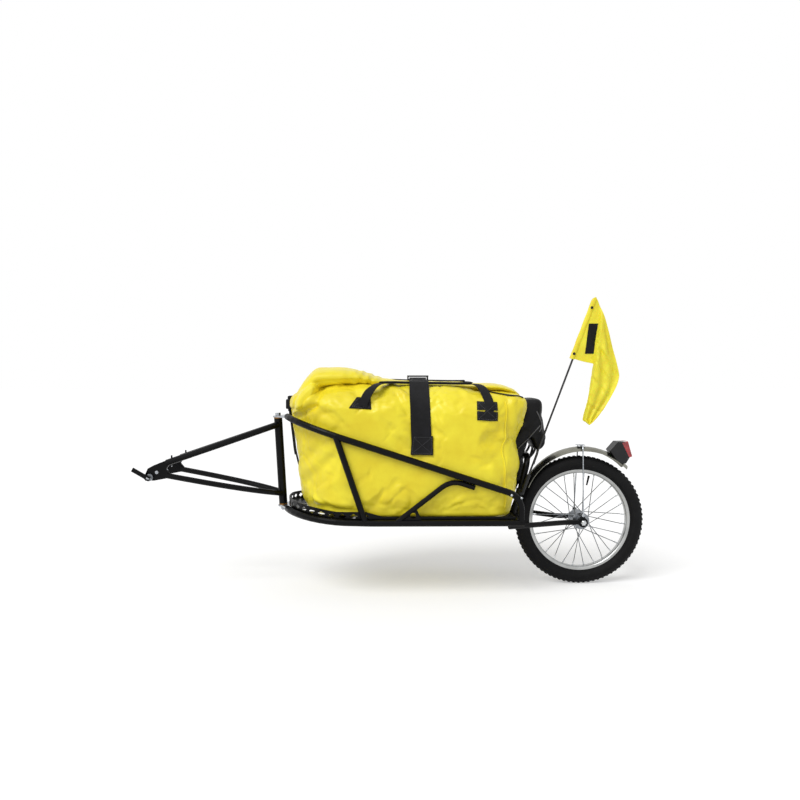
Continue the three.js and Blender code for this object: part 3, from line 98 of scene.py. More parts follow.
def makeFinish(name, look):
    finish = bpy.data.materials.new(name)
    finish.use_nodes = True
    tree = finish.node_tree
    shader = tree.nodes["Principled BSDF"]
    where = addNode(tree, "TexCoord").outputs[look.get("follow", "Object")]
    along = where
    if "drawn" in look:  # grain drawn out along one way, as brushing or a warp leaves it
        along = addNode(tree, "Mapping", {"Vector": where, "Scale": look["drawn"]}).outputs[0]
    mottle = addNode(tree, "TexNoise", {"Vector": where, "Scale": 1 / (look["mottle"] * mm),
                                        "Detail": 5, "Roughness": 0.6}).outputs[0]
    grain = addNode(tree, "TexNoise", {"Vector": along, "Scale": 1 / (look["grain"] * mm),
                                       "Detail": 3, "Roughness": 0.55}).outputs[0]
    shadeStop, baseStop = 0.34, 0.6
    tone = addNode(tree, "ValToRGB", {"Fac": mottle},
                   [(shadeStop, hexColour(look["shade"])),
                    (baseStop, hexColour(look["base"]))]).outputs[0]
    if "worn" in look:  # rubbed or dusty spots
        colour, start, size = look["worn"]
        edge = 0.12
        spots = addNode(tree, "TexNoise", {"Vector": where, "Scale": 1 / (size * mm),
                                           "Detail": 8, "Roughness": 0.7}).outputs[0]
        rubbed = addNode(tree, "MapRange", {"Value": spots, "From Min": start,
                                            "From Max": start + edge}).outputs[0]
        tone = addNode(tree, "Mix", {"Factor": rubbed, 6: tone, 7: hexColour(colour)},
                       data_type="RGBA").outputs[2]
    tree.links.new(tone, shader.inputs["Base Color"])
    low, high = look["rough"]
    rough = addNode(tree, "MapRange", {"Value": grain, "From Min": 0.3, "From Max": 0.7,
                                       "To Min": low, "To Max": high}).outputs[0]
    tree.links.new(rough, shader.inputs["Roughness"])
    height = grain
    for way, pitch, share in look.get("waves", []):
        # pitch in mm: at scale 1 the wave node has 20 / 2 pi bands a metre
        wave = addNode(tree, "TexWave", {"Vector": where, "Scale": math.pi / (10 * pitch * mm)},
                       wave_type="BANDS", bands_direction=way).outputs[1]
        part = addNode(tree, "Math", {0: wave, 1: share}, operation="MULTIPLY").outputs[0]
        height = addNode(tree, "Math", {0: height, 1: part}, operation="ADD").outputs[0]
    normal = None
    if "crinkle" in look:
        size, depth = look["crinkle"]
        ridges = addNode(tree, "TexNoise", {"Vector": where, "Scale": 1 / (size * mm), "Detail": 2,
                                            "Distortion": 0.5},
                         noise_type="RIDGED_MULTIFRACTAL").outputs[0]
        normal = addNode(tree, "Bump", {"Height": ridges, "Distance": depth * mm}).outputs[0]
    bump = addNode(tree, "Bump", {"Height": height, "Distance": look["relief"] * mm})
    if normal:
        tree.links.new(normal, bump.inputs["Normal"])
    tree.links.new(bump.outputs[0], shader.inputs["Normal"])
    for socket, value in look.get("sockets", {}).items():
        shader.inputs[socket].default_value = value
    return finish


print("stage: finishes")
finishes = {name: makeFinish(name, look) for name, look in {
    # gloss powder coat on steel tube: black and wet looking, with orange peel and a little dust
    "powderCoatedSteel": {"base": "020203", "shade": "070708", "mottle": 60, "grain": 1.6,
                          "relief": 0.05, "rough": (0.22, 0.36), "worn": ("1c1c1e", 0.68, 24),
                          "sockets": {"Specular IOR Level": 0.14}},
    # zinc plate: bluish grey, with a soft spangle
    "zincPlatedSteel": {"base": "bcc0c4", "shade": "8c9095", "mottle": 7, "grain": 0.8,
                        "relief": 0.02, "rough": (0.24, 0.42), "sockets": {"Metallic": 1}},
    # tumbled and polished aluminium: bright, with fine scratches
    "polishedAluminium": {"base": "d2d4d6", "shade": "c3c6c9", "mottle": 60, "grain": 0.7,
                          "drawn": (1, 1, 0.12), "relief": 0.01, "rough": (0.16, 0.26),
                          "sockets": {"Metallic": 1}},
    # extruded and anodised rim: satin grey, duller than the polished parts
    "anodisedRim": {"base": "b4b5b4", "shade": "9fa09f", "mottle": 50, "grain": 0.6,
                    "relief": 0.01, "rough": (0.24, 0.36), "sockets": {"Metallic": 1}},
    # rolled fender sheet: satin, its tone painted darker and warmer than the bright alloy, a
    # painted reflection of what it mirrors
    "fenderAlloyPaintedReflection": {"base": "8b8a80", "shade": "77766d", "mottle": 70, "grain": 0.7,
                       "drawn": (0.2, 1, 0.2), "relief": 0.01, "rough": (0.22, 0.34),
                       "sockets": {"Metallic": 1}},
    # drawn stainless spoke wire on a cast hub
    "stainlessSpoke": {"base": "9b9ea2", "shade": "7c7f83", "mottle": 20, "grain": 0.7,
                       "relief": 0.01, "rough": (0.22, 0.34), "sockets": {"Metallic": 1}},
    # plain bronze bush: oily brown metal
    "castBronze": {"base": "a97c43", "shade": "7a5729", "mottle": 6, "grain": 0.6,
                   "relief": 0.03, "rough": (0.34, 0.5), "sockets": {"Metallic": 1}},
    # black tyre rubber: dull, grey where it is dusty
    "tyreRubber": {"base": "070708", "shade": "0e0e0f", "mottle": 25, "grain": 0.9,
                   "relief": 0.12, "rough": (0.6, 0.8), "worn": ("2a2826", 0.66, 30),
                   "sockets": {"Specular IOR Level": 0.18}},
    # injection moulded nylon: satin black with a spark eroded grain
    "mouldedNylon": {"base": "0d0e0f", "shade": "161719", "mottle": 20, "grain": 0.8,
                     "relief": 0.06, "rough": (0.38, 0.52),
                     "sockets": {"Specular IOR Level": 0.35}},
    # clear red polycarbonate over prisms of 4 mm
    "lensPolycarbonate": {"base": "b3111d", "shade": "7c0a13", "mottle": 12, "grain": 2,
                          "relief": 0.35, "rough": (0.06, 0.14),
                          "waves": [("Y", 4, 1.2), ("Z", 4, 1.2)],
                          "sockets": {"Coat Weight": 0.8, "Coat Roughness": 0.04}},
    # pultruded fibreglass rod: black, with faint glass strands along it
    "pultrudedFibreglass": {"base": "101011", "shade": "1c1c1e", "mottle": 14, "grain": 0.7,
                            "drawn": (1, 1, 0.08), "relief": 0.04, "rough": (0.25, 0.4)},
    # polyester with a soft coating: its weave is drawn at 2.4 mm, coarser than the real one
    "coatedPolyester": {"base": "f5e534", "shade": "e9d327", "mottle": 110, "grain": 3,
                        "relief": 0.16, "rough": (0.32, 0.46), "crinkle": (75, 1.8),
                        "waves": [("X", 2.4, 0.5), ("Y", 2.4, 0.5), ("Z", 2.4, 0.5)],
                        "sockets": {"Specular IOR Level": 0.35, "Coat Weight": 0.12,
                                    "Coat Roughness": 0.25}},
    # thin flag nylon: lets some light through, with a ripstop square of 5 mm
    "ripstopNylon": {"base": "f4e63c", "shade": "e9d62c", "mottle": 60, "grain": 1.5,
                     "relief": 0.1, "rough": (0.45, 0.6), "crinkle": (28, 0.8),
                     "waves": [("X", 5, 0.3), ("Z", 5, 0.3)],
                     "sockets": {"Subsurface Weight": 0.15, "Subsurface Scale": 0.01}},
    # woven nylon webbing: warp ends of 2 mm and ribs of 3 mm, a little coarser than real
    "nylonWebbing": {"base": "0b0b0d", "shade": "131316", "mottle": 18, "grain": 1.2,
                     "relief": 0.3, "rough": (0.55, 0.75), "follow": "UV",
                     "waves": [("X", 2, 0.6), ("Y", 3, 0.9)],
                     "sockets": {"Specular IOR Level": 0.2}},
    # coated black pouch cloth: dull, crumpled, with grey rub marks
    "coatedOxford": {"base": "040405", "shade": "0a0a0c", "mottle": 35, "grain": 2,
                     "relief": 0.15, "rough": (0.4, 0.58), "crinkle": (34, 2),
                     "worn": ("1a1a1e", 0.64, 40),
                     "waves": [("X", 1.8, 0.4), ("Y", 1.8, 0.4), ("Z", 1.8, 0.4)],
                     "sockets": {"Specular IOR Level": 0.2}},
    # grey thread, and grey painted highlight on the pouch's cords and on the buckle's folded strap
    # end
    "greyThreadAndHighlight": {"base": "5a5a5e", "shade": "434347", "mottle": 12, "grain": 1,
                   "relief": 0.1, "rough": (0.5, 0.65)},
}.items()}

slotFinish = {
    "black_paint": "powderCoatedSteel",
    "zinc_steel": "zincPlatedSteel",
    "polished_alloy": "polishedAluminium",
    "bronze": "castBronze",
    "tyre_rubber": "tyreRubber",
    "black_plastic": "mouldedNylon",
    "red_lens": "lensPolycarbonate",
    "black_fibreglass": "pultrudedFibreglass",
    "yellow_coated_cloth": "coatedPolyester",
    "yellow_flag_cloth": "ripstopNylon",
    "black_webbing": "nylonWebbing",
}
# pieces that don't look like the rest of their slot
ownFinish = {"rim": "anodisedRim", "fender": "fenderAlloyPaintedReflection", "hub": "stainlessSpoke",
             "dropout_left": "powderCoatedSteel", "dropout_right": "powderCoatedSteel"}
for row in frame["record"]["subparts"]:
    for place in nodes[row["node"]].material_slots:
        place.material = finishes[ownFinish.get(row["node"], slotFinish[row["material_slot"]])]

# ---- shared modelling

def settle(piece, body, slot, finishName=None, stands=(), angle=40):
    # shading, finish and body of a piece that is in place; its record slot picks the finish unless
    # one is named
    smoothShade(piece, angle)
    piece.data.materials.clear()
    piece.data.materials.append(finishes[finishName or slotFinish[slot]])
    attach(piece, body)
    if stands:
        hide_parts(*stands)
    return piece


def newPiece(name, points, faces, edges=()):
    mesh = bpy.data.meshes.new(name)
    mesh.from_pydata(points, edges, faces)
    mesh.update()
    piece = bpy.data.objects.new(name, mesh)
    scene.collection.objects.link(piece)
    return piece


def choose(piece):
    bpy.ops.object.select_all(action="DESELECT")
    piece.select_set(True)
    bpy.context.view_layer.objects.active = piece


def applyModifier(piece, kind, **settings):
    choose(piece)
    modifier = piece.modifiers.new(kind.lower(), kind)
    for name, value in settings.items():
        setattr(modifier, name, value)
    bpy.ops.object.modifier_apply(modifier=modifier.name)


def smoothShade(piece, angle):
    choose(piece)
    bpy.ops.object.shade_smooth_by_angle(angle=math.radians(angle))


def turnOutwards(piece):
    choose(piece)
    bpy.ops.object.mode_set(mode="EDIT")
    bpy.ops.mesh.select_all(action="SELECT")
    bpy.ops.mesh.normals_make_consistent(inside=False)
    bpy.ops.object.mode_set(mode="OBJECT")


def inPlace(piece):
    # place, turn and scale go into the mesh
    choose(piece)
    bpy.ops.object.transform_apply(location=True, rotation=True, scale=True)
    return piece


def rounded(piece, width, segments=3):
    applyModifier(piece, "BEVEL", width=width * mm, segments=segments, limit_method="ANGLE")
    return piece


def clamped(share):
    return min(1, max(0, share))


def bump(x, middle, width):
    return math.exp(-((x - middle) / width) ** 2)


def smoothRows(rows, steps=4):
    # rows in between the given ones, on a smooth curve through them
    made = []
    for i in range(len(rows) - 1):
        before, first, last = rows[max(i - 1, 0)], rows[i], rows[i + 1]
        after = rows[min(i + 2, len(rows) - 1)]
        for step in range(steps):
            t = step / steps
            made.append([0.5 * (2 * q + (r - p) * t + (2 * p - 5 * q + 4 * r - s) * t ** 2
                                + (3 * q - p - 3 * r + s) * t ** 3)
                         for p, q, r, s in zip(before, first, last, after)])
    return made + [list(rows[-1])]


def loft(name, rings):
    # closed shell through rings of equal count, with a face over each end
    count = len(rings[0])
    points = [point for ring in rings for point in ring]
    faces = [[i * count + j, i * count + (j + 1) % count,
              (i + 1) * count + (j + 1) % count, (i + 1) * count + j]
             for i in range(len(rings) - 1) for j in range(count)]
    faces.append(list(range(count))[::-1])
    faces.append([(len(rings) - 1) * count + j for j in range(count)])
    piece = newPiece(name, points, faces)
    turnOutwards(piece)
    return piece


def band(name, grid, thick):
    # flat goods: a closed strip on a grid of points, thick towards the side that the grid faces
    rows, cols = len(grid), len(grid[0])
    normals = []
    for i in range(rows):
        for j in range(cols):
            down = grid[min(i + 1, rows - 1)][j] - grid[max(i - 1, 0)][j]
            side = grid[i][min(j + 1, cols - 1)] - grid[i][max(j - 1, 0)]
            normals.append(down.cross(side).normalized())
    under = [point for row in grid for point in row]
    over = [point + normal * thick * mm for point, normal in zip(under, normals)]
    total = rows * cols
    faces = []
    for i in range(rows - 1):
        for j in range(cols - 1):
            a, b = i * cols + j, (i + 1) * cols + j
            faces.append([a, a + 1, b + 1, b])
            faces.append([total + a, total + b, total + b + 1, total + a + 1])
    rim = ([j for j in range(cols)] + [i * cols + cols - 1 for i in range(1, rows)]
           + [(rows - 1) * cols + j for j in range(cols - 2, -1, -1)]
           + [i * cols for i in range(rows - 2, 0, -1)])
    for a, b in zip(rim, rim[1:] + rim[:1]):
        faces.append([b, a, total + a, total + b])
    piece = newPiece(name, under + over, faces)
    turnOutwards(piece)
    lengths = [0]
    for i in range(1, rows):
        lengths.append(lengths[-1] + (grid[i][cols // 2] - grid[i - 1][cols // 2]).length)
    widths = [0]
    for j in range(1, cols):
        widths.append(widths[-1] + (grid[rows // 2][j] - grid[rows // 2][j - 1]).length)
    chart = piece.data.uv_layers.new(name="weave")
    for loop in piece.data.loops:
        i, j = divmod(loop.vertex_index % total, cols)
        chart.data[loop.index].uv = (widths[j], lengths[i])
    return piece


def runAt(line, i):
    # the way that a line of points runs at point i
    return (line[min(i + 1, len(line) - 1)] - line[max(i - 1, 0)]).normalized()


def eased(line, rounds):
    # the line without its small kinks
    for _ in range(rounds):
        line[1:-1] = [(a + b + c) / 3 for a, b, c in zip(line, line[1:], line[2:])]
    return line


def circle(count):
    # cosine and sine of even steps round a circle
    turns = [math.tau * k / count for k in range(count)]
    return [(math.cos(a), math.sin(a)) for a in turns]


def cord(name, line, radius):
    # round cord on a line, closed and drawn in at both ends
    rings = []
    sides, endShare = 10, 0.35
    for i, point in enumerate(line):
        run = runAt(line, i)
        wide = run.cross(Vector((0, 1, 0))).normalized()
        other = run.cross(wide)
        reach = radius * (endShare if i in (0, len(line) - 1) else 1) * mm
        rings.append([point + (wide * c + other * s) * reach for c, s in circle(sides)])
    return loft(name, rings)


def ribbon(name, side, line, across, width, thick):
    # narrow strip on a line, with its cross direction at each point
    grid = [[point + way * (j - 1.5) * (width / 3) * mm for j in range(4)]
            for point, way in zip(line, across)]
    return band(name, [row[::side] for row in grid], thick)


def skinOf(*pieces):
    points, faces = [], []
    for piece in pieces:
        start = len(points)
        points += [vertex.co.copy() for vertex in piece.data.vertices]
        faces += [[start + i for i in face.vertices] for face in piece.data.polygons]
    return BVHTree.FromPolygons(points, faces)


def joined(name, pieces):
    choose(pieces[0])
    for piece in pieces:
        piece.select_set(True)
    bpy.ops.object.join()
    pieces[0].name = name
    return pieces[0]


def startBlock(name, centre, size):
    bpy.ops.object.select_all(action="DESELECT")
    bpy.ops.mesh.primitive_cube_add(size=1, location=at(*centre))
    piece = bpy.context.object
    piece.name = name
    piece.scale = [side * mm for side in size]
    return inPlace(piece)


# ---- dry bag

print("stage: dry bag")
dryBag = {
    # height, nose, tail and half width of each ring
    "rings": [(233, -730, -250, 152), (236, -800, -240, 168), (244, -834, -233, 176),
              (273, -848, -228, 180), (328, -853, -222, 181), (398, -861, -213, 181),
              (453, -868, -221, 181), (500, -874, -204, 181), (528, -877, -198, 181),
              (551, -886, -190, 179), (566, -889, -187, 175), (578, -880, -188, 168),
              (588, -866, -212, 158), (598, -848, -318, 147), (607, -828, -342, 131),
              (613, -808, -420, 113), (619, -796, -560, 98), (625, -784, -592, 62)],
    "noseRound": 160, "tailRound": 55, "voxel": 8, "cap": 12, "sides": 188.5,
    # folds of the side, seen from the left: start, end, depth and width
    "folds": [(-848, 330, -742, 425, 6, 20), (-842, 395, -772, 470, 5, 18),
              (-800, 560, -700, 505, 7, 20), (-690, 610, -635, 555, 6, 16),
              (-600, 520, -536, 440, 7, 22), (-566, 600, -532, 540, 6, 14),
              (-455, 560, -430, 500, 6, 14), (-460, 500, -414, 462, 6, 14),
              (-700, 330, -600, 410, 6, 26), (-640, 280, -560, 360, 6, 22),
              (-300, 470, -225, 400, 6, 22), (-244, 560, -234, 470, 5, 14),
              (-864, 524, -806, 562, 9, 12), (-812, 554, -784, 616, 9, 12),
              (-420, 330, -330, 300, 5, 22),
              (-380, 430, -300, 400, 4, 20), (-800, 270, -690, 258, 5, 14),
              (-760, 500, -640, 470, 4, 24), (-560, 350, -500, 290, 5, 24)],
    # bulges of the side: along, up, size and height
    "bulges": [(-842, 578, 30, 7), (-745, 590, 34, 4), (-700, 440, 60, 4), (-580, 560, 30, 4),
               (-400, 540, 50, 3), (-300, 560, 34, 4)],
    # crumpled facets: size, stretch along the fold, turn in the side view, tilt and crease in mm
    "facets": [(105, 1.7, 40, 6.5, 2.8), (52, 1.4, -25, 2.4, 1.1)],
    "farShift": (38, -14),  # the far side's folds lie along and up from the near side's
    # the strap pinches the cloth above its foot, holds it and keeps it smooth, each so far aside
    "strapPinch": 5, "strapPlace": -497, "pinchFoot": 400, "pinchWidth": 34,
    "holdFoot": 430, "holdWidth": 26, "calmWidth": 30,
    "trayTop": 262, "trayFade": 28, "underside": 233, "rollSeam": 600,
    # how far the cloth keeps from a tube, from where it feels it and its largest step
    "room": 2.5, "feels": 8, "step": 4,
    "pressure": 3.5, "slack": -0.02, "frames": 20,
}


def ringPlan(z, nose, tail, half):
    front = min(dryBag["noseRound"], half - 1)
    rear = min(dryBag["tailRound"], half * 0.8)
    plan = []
    steps = 9
    corner = [math.pi / 2 * i / steps for i in range(steps + 1)]
    for a in corner:  # front left corner, from the nose round to the side
        plan.append((nose + front * (1 - math.cos(a)), -(half - front) - front * math.sin(a)))
    for a in corner:  # rear left corner
        plan.append((tail - rear * (1 - math.sin(a)), -(half - rear) - rear * math.cos(a)))
    plan += [(x, -y) for x, y in reversed(plan)]
    return [at(x, y, z) for x, y in plan]


def foldHeight(x, z, fold):
    startX, startZ, endX, endZ, depth, width = fold
    runX, runZ = endX - startX, endZ - startZ
    length = math.hypot(runX, runZ)
    share = ((x - startX) * runX + (z - startZ) * runZ) / length ** 2
    past = 0.2  # a fold fades out a little beyond its ends
    if not -past < share < 1 + past:
        return 0
    aside = ((z - startZ) * runX - (x - startX) * runZ) / length / width
    fade = max(0, 1 - ((share - 0.5) / (0.5 + past)) ** 4)
    ridge, furrow = 0.7 * bump(aside, 0.9, 0.9), bump(aside, -0.3, 0.75)
    return depth * fade * (ridge - furrow)


def facetHeight(x, y, z, facet):
    # plates of stiff coated cloth that lean each their own way, with a crease between two
    size, stretch, turn, tilt, crease = facet
    c, s = math.cos(math.radians(turn)), math.sin(math.radians(turn))
    spot = Vector(((x * c + z * s) / stretch, y, z * c - x * s)) / size
    warp, warpScale, edgeFade, creaseWidth = 0.35, 1.7, 0.25, 0.09
    spot += warp * noise.noise_vector(spot * warpScale)
    distances, centres = noise.voronoi(spot)
    edge = distances[1] - distances[0]
    lean = noise.noise_vector(centres[0] * 7.3 + Vector((3, 1, 5)))  # any spot of its own
    plate = (spot - centres[0]).dot(lean) * 2 * min(1, edge / edgeFade)
    return tilt * plate - crease * bump(edge, 0, creaseWidth)


def voxelShell(piece, voxel):
    choose(piece)
    piece.data.remesh_voxel_size = voxel * mm
    bpy.ops.object.voxel_remesh()


def puff(piece, look, held):
    # cloth pressure on the closed shell; held says how firmly a point keeps its place, 0 to 1
    group = piece.vertex_groups.new(name="held")
    for vertex in piece.data.vertices:
        grip = held(*back(vertex.co))
        if grip > 0:
            group.add([vertex.index], grip, "REPLACE")
    rest = [vertex.co.copy() for vertex in piece.data.vertices]
    cloth = piece.modifiers.new("puff", "CLOTH")
    cloth.settings.quality = 4
    cloth.settings.mass = 0.3
    cloth.settings.use_pressure = True
    cloth.settings.uniform_pressure_force = look["pressure"]
    cloth.settings.shrink_min = look["slack"]
    cloth.settings.shrink_max = look["slack"]
    cloth.settings.tension_stiffness = 15
    cloth.settings.compression_stiffness = 15
    cloth.settings.bending_stiffness = 0.6
    cloth.settings.vertex_group_mass = "held"
    cloth.settings.effector_weights.gravity = 0
    cloth.point_cache.frame_start = 1
    cloth.point_cache.frame_end = look["frames"]
    for number in range(1, look["frames"] + 1):
        scene.frame_set(number)
    moved = piece.evaluated_get(bpy.context.evaluated_depsgraph_get())
    reached = [vertex.co.copy() for vertex in moved.data.vertices]
    piece.modifiers.remove(cloth)
    piece.vertex_groups.clear()
    for vertex, start, end in zip(piece.data.vertices, rest, reached):
        way = end - start
        far = way.length / (look["cap"] * mm)  # beyond the cap the cloth moves no further
        if far > 1e-6:
            vertex.co = start + way * (math.tanh(far) / far)
    scene.frame_set(1)


def makeDryBag():
    look = dryBag
    bag = loft("dryBag", [ringPlan(*row) for row in smoothRows(look["rings"], 3)])
    voxelShell(bag, look["voxel"])
    strapX, trayTop = look["strapPlace"], look["trayTop"]
    shape = bag.data
    normals = [vertex.normal.copy() for vertex in shape.vertices]
    for vertex, normal in zip(shape.vertices, normals):
        x, y, z = back(vertex.co)
        pinch = (look["strapPinch"] * bump(x, strapX, look["pinchWidth"])
                 * (z > look["pinchFoot"]))
        vertex.co -= normal * pinch * mm
    puff(bag, look, lambda x, y, z: 1 if z < trayTop or z > look["rollSeam"] else (
        0.9 * bump(x, strapX, look["holdWidth"]) * (z > look["holdFoot"])))
    applyModifier(bag, "SUBSURF", levels=1, render_levels=1)
    normals = [vertex.normal.copy() for vertex in shape.vertices]
    for vertex, normal in zip(shape.vertices, normals):
        x, y, z = back(vertex.co)
        free = 1 - clamped((trayTop - z) / look["trayFade"])
        calm = 1 - 0.85 * bump(x, strapX, look["calmWidth"])
        shiftX, shiftZ = look["farShift"] if y > 0 else (0, 0)
        rise = sum(foldHeight(x + shiftX, z + shiftZ, fold) for fold in look["folds"])
        rise += sum(height * bump(x + shiftX, placeX, size) * bump(z, placeZ, size)
                    for placeX, placeZ, size, height in look["bulges"])
        rise *= min(1, abs(normal.y) * 1.8)  # the folds are the sides' alone
        rise += sum(facetHeight(x, y, z, facet) for facet in look["facets"])
        vertex.co += normal * rise * free * calm * mm
    rails = skinOf(*[nodes[name] for name in (
        "top_rail_left", "top_rail_right", "floor_rail_left", "floor_rail_right",
        "front_brace_left", "front_brace_right", "rear_brace_left", "rear_brace_right",
        "floor_mesh", "rear_hoop")])
    for vertex in shape.vertices:
        y = vertex.co.y / mm
        vertex.co.y = max(-look["sides"], min(look["sides"], y)) * mm
        vertex.co.z = max(vertex.co.z, at(0, 0, look["underside"]).z)
        near, normal, _, _ = rails.find_nearest(vertex.co, look["feels"] * mm)
        if near:  # the tubes press into the cloth, which stays inside them
            short = look["room"] * mm - (vertex.co - near).dot(normal)
            if short > 0:
                inwards = Vector((0, -1 if vertex.co.y > 0 else 1, 0))
                away = normal if normal.dot(inwards) > 0 or abs(normal.y) < 0.3 else inwards
                vertex.co += away * min(short, look["step"] * mm)
    applyModifier(bag, "SMOOTH", factor=0.3, iterations=1)
    return settle(bag, "load", "yellow_coated_cloth", stands=["bag"], angle=180)


bag = makeDryBag()
bagSkin = skinOf(bag)

# ---- rolled closure along the top of the bag

rolledClosure = {
    # place along, middle height, thickness and share of the half width
    "stations": [(-868, 578, 24, 0.8), (-862, 581, 44, 0.95), (-852, 588, 62, 1.08),
                 (-836, 606, 72, 1.2), (-812, 629, 74, 1.3), (-780, 637, 62, 1.34),
                 (-703, 638, 58, 1.34), (-660, 634, 50, 1.28), (-625, 625, 40, 1.16),
                 (-590, 617, 36, 1.04), (-540, 612, 36, 0.96), (-478, 610, 34, 0.92),
                 (-380, 608, 34, 0.94), (-346, 608, 28, 1.05), (-318, 609, 26, 1.26),
                 (-280, 609, 24, 1.36), (-248, 605, 22, 1.3), (-218, 596, 18, 1.1),
                 (-196, 584, 10, 0.8)],
    "halfWidth": 96, "sides": 44, "voxel": 4.5,
    "square": (0.75, 0.85),  # below 1 the section turns from an ellipse to a block, across and up
    "sway": (2.5, 60), "grain": (1.1, 26),  # depth and size
    # laps of the rolled cloth round the ring: degrees, depth in mm and half width in radians
    "laps": [(196, 5, 0.14), (344, 5, 0.14), (118, 4, 0.098)], "lapFull": 30,
    # pleats across: place, width and depth
    "creases": [(-836, 14, 3.5), (-710, 8, 8), (-690, 7, 11), (-668, 8, 15), (-644, 7, 13),
                (-618, 8, 7), (-570, 12, 2), (-420, 16, 2), (-330, 12, 2.5), (-262, 9, 2.5)],
    "creaseLean": 0.5,
    # the rolled end over the bag's nose, which lies across the bag
    "lobe": {"centre": (-831, 581), "long": 51, "thick": 27, "turn": 52, "half": 153},
}


def makeRoll():
    look = rolledClosure
    squareY, squareZ = look["square"]
    swayDepth, swaySize = look["sway"]
    rings = []
    for x, middle, thick, share in smoothRows(look["stations"]):
        ring = []
        half = look["halfWidth"] * share
        for i in range(look["sides"]):
            a = math.tau * i / look["sides"]
            c, s = math.cos(a), math.sin(a)
            y = half * math.copysign(abs(c) ** squareY, c)
            z = thick / 2 * math.copysign(abs(s) ** squareZ, s)
            leant = x - look["creaseLean"] * z  # the pleats lean forwards towards the top
            pleat = sum(depth * bump(leant, place, width)
                        for place, width, depth in look["creases"])
            lap = min(1, thick / look["lapFull"]) * sum(
                depth * bump(a, math.radians(turn), width) for turn, depth, width in look["laps"])
            shrink = 1 - (lap + pleat * (0.5 + 0.5 * abs(s))) / (thick / 2 + 18)
            sway = swayDepth * noise.noise(Vector((x / swaySize, c * 1.5, s * 1.5)))
            ring.append(at(x, y * (0.6 + 0.4 * shrink), middle + z * shrink + sway))
        rings.append(ring)
    roll = loft("rollRun", rings)
    lobe = look["lobe"]
    turnC, turnS = math.cos(math.radians(lobe["turn"])), math.sin(math.radians(lobe["turn"]))
    rings = []
    for i in range(-12, 13):
        share = i / 12.3
        close = (1 - abs(share) ** 5) ** 0.5  # the lobe draws in at its two ends
        ring = []
        for c, s in circle(40):
            u = lobe["long"] * c * (0.5 + 0.5 * close)
            v = lobe["thick"] * s * close
            ring.append(at(lobe["centre"][0] + u * turnC - v * turnS, lobe["half"] * share,
                           lobe["centre"][1] + u * turnS + v * turnC))
        rings.append(ring)
    roll = joined("rolledClosure", [roll, loft("rollLobe", rings)])
    voxelShell(roll, look["voxel"])
    grainDepth, grainSize = look["grain"]
    for vertex in roll.data.vertices:
        rise = grainDepth * mm * noise.noise(Vector(back(vertex.co)) / grainSize)
        vertex.co += vertex.normal * rise
    applyModifier(roll, "SMOOTH", factor=0.5, iterations=2)
    applyModifier(roll, "SUBSURF", levels=1, render_levels=1)
    return settle(roll, "load", "yellow_coated_cloth", stands=["bag_roll"], angle=180)


roll = makeRoll()
loadSkin = skinOf(bag, roll)

# ---- webbing on the bag

print("stage: webbing")
webbing = {
    "thick": 2.4, "lift": 2,
    "centre": {"foot": 419, "footX": -495, "topX": -501, "width": 57, "patch": (65, 52),
               "rows": 120, "core": 430},
    "handle": {"width": 25, "high": {"left": 0, "right": 5}, "grip": (-612, -346),
               "gripWide": 17, "gripThick": 8,
               "highFrom": (560, 64),  # height where it rises from, and over how far
               "lieFrom": (575, 45),  # the same for where it turns flat
               # patches, from their bottom front corner round; the rear one is sewn in two
               "patches": [[(-703, 551), (-640, 547), (-641, 580), (-682, 580)],
                           [(-338, 517), (-279, 514), (-279, 540), (-338, 542)],
                           [(-338, 546), (-279, 544), (-280, 567), (-337, 569)]],
               "seams": [[(-698, 551), (-640, 547), (-641, 580), (-682, 580)],
                         [(-338, 517), (-279, 514), (-280, 567), (-337, 569)]],
               # middle of the strap up from the front patch, over the bag and down again
               "line": [(-664, 185, 557), (-659, 184, 574), (-646, 179, 598), (-630, 168, 615),
                        (-616, 152, 622), (-597, 130, 623), (-570, 112, 623), (-530, 103, 622),
                        (-460, 98, 621), (-400, 100, 620), (-362, 110, 620), (-338, 124, 620),
                        (-325, 140, 615), (-317, 158, 604), (-310, 173, 588), (-303, 183, 568),
                        (-302, 187, 548), (-307, 188, 522)]},
    # places of the strap over the nose: along and up
    "nose": {"width": 25, "line": [(-890, 568), (-892, 552), (-890, 520), (-886, 494),
                                   (-879, 449), (-875, 414), (-869, 380), (-862, 348),
                                   (-855, 326)],
             "sway": 1.2, "tail": (6, 42), "tailLift": 3.2,  # rows of the loose end, and its lift
             # buckle parts: centre, size, rounding and its segments
             "buckle": [((-894, 0, 557), (20, 54, 30), 4, 4), ((-893, 0, 575), (13, 40, 14), 3, 3),
                        ((-892, 0, 541), (12, 44, 12), 2.4, 3)]},
    # corded seam down the bag's rear edges: from and to height, cord radius and lift
    "welt": {"span": (262, 572), "radius": 2.4, "lift": 0.6},
    # black strip under the roll's rear end, a painted shadow for the dark gap between roll and bag:
    # along and up, width, thickness and lift
    "rear": {"line": [(-306, 598), (-285, 593), (-262, 589), (-233, 584), (-212, 584),
                      (-199, 578)], "width": 6.6, "thick": 1.6, "lift": 1.6},
}


def tautLine(skin, x, foot):
    # the tight line over the load in the plane at x, from the right foot to the left one
    centre = at(x, 0, foot)
    hull = []
    for i in range(181):  # by degrees, with rays from half a metre off
        a = math.radians(i)
        way = Vector((0, math.cos(a), math.sin(a)))
        hit = skin.ray_cast(centre + way * 0.5, -way)[0]
        if hit is None:
            continue
        point = (hit.y, hit.z)
        while len(hull) > 1:
            (ay, az), (by, bz) = hull[-2], hull[-1]
            if (by - ay) * (point[1] - bz) - (bz - az) * (point[0] - by) > 0:
                break
            hull.pop()
        hull.append(point)
    return [Vector((centre.x, y, z)) for y, z in hull]


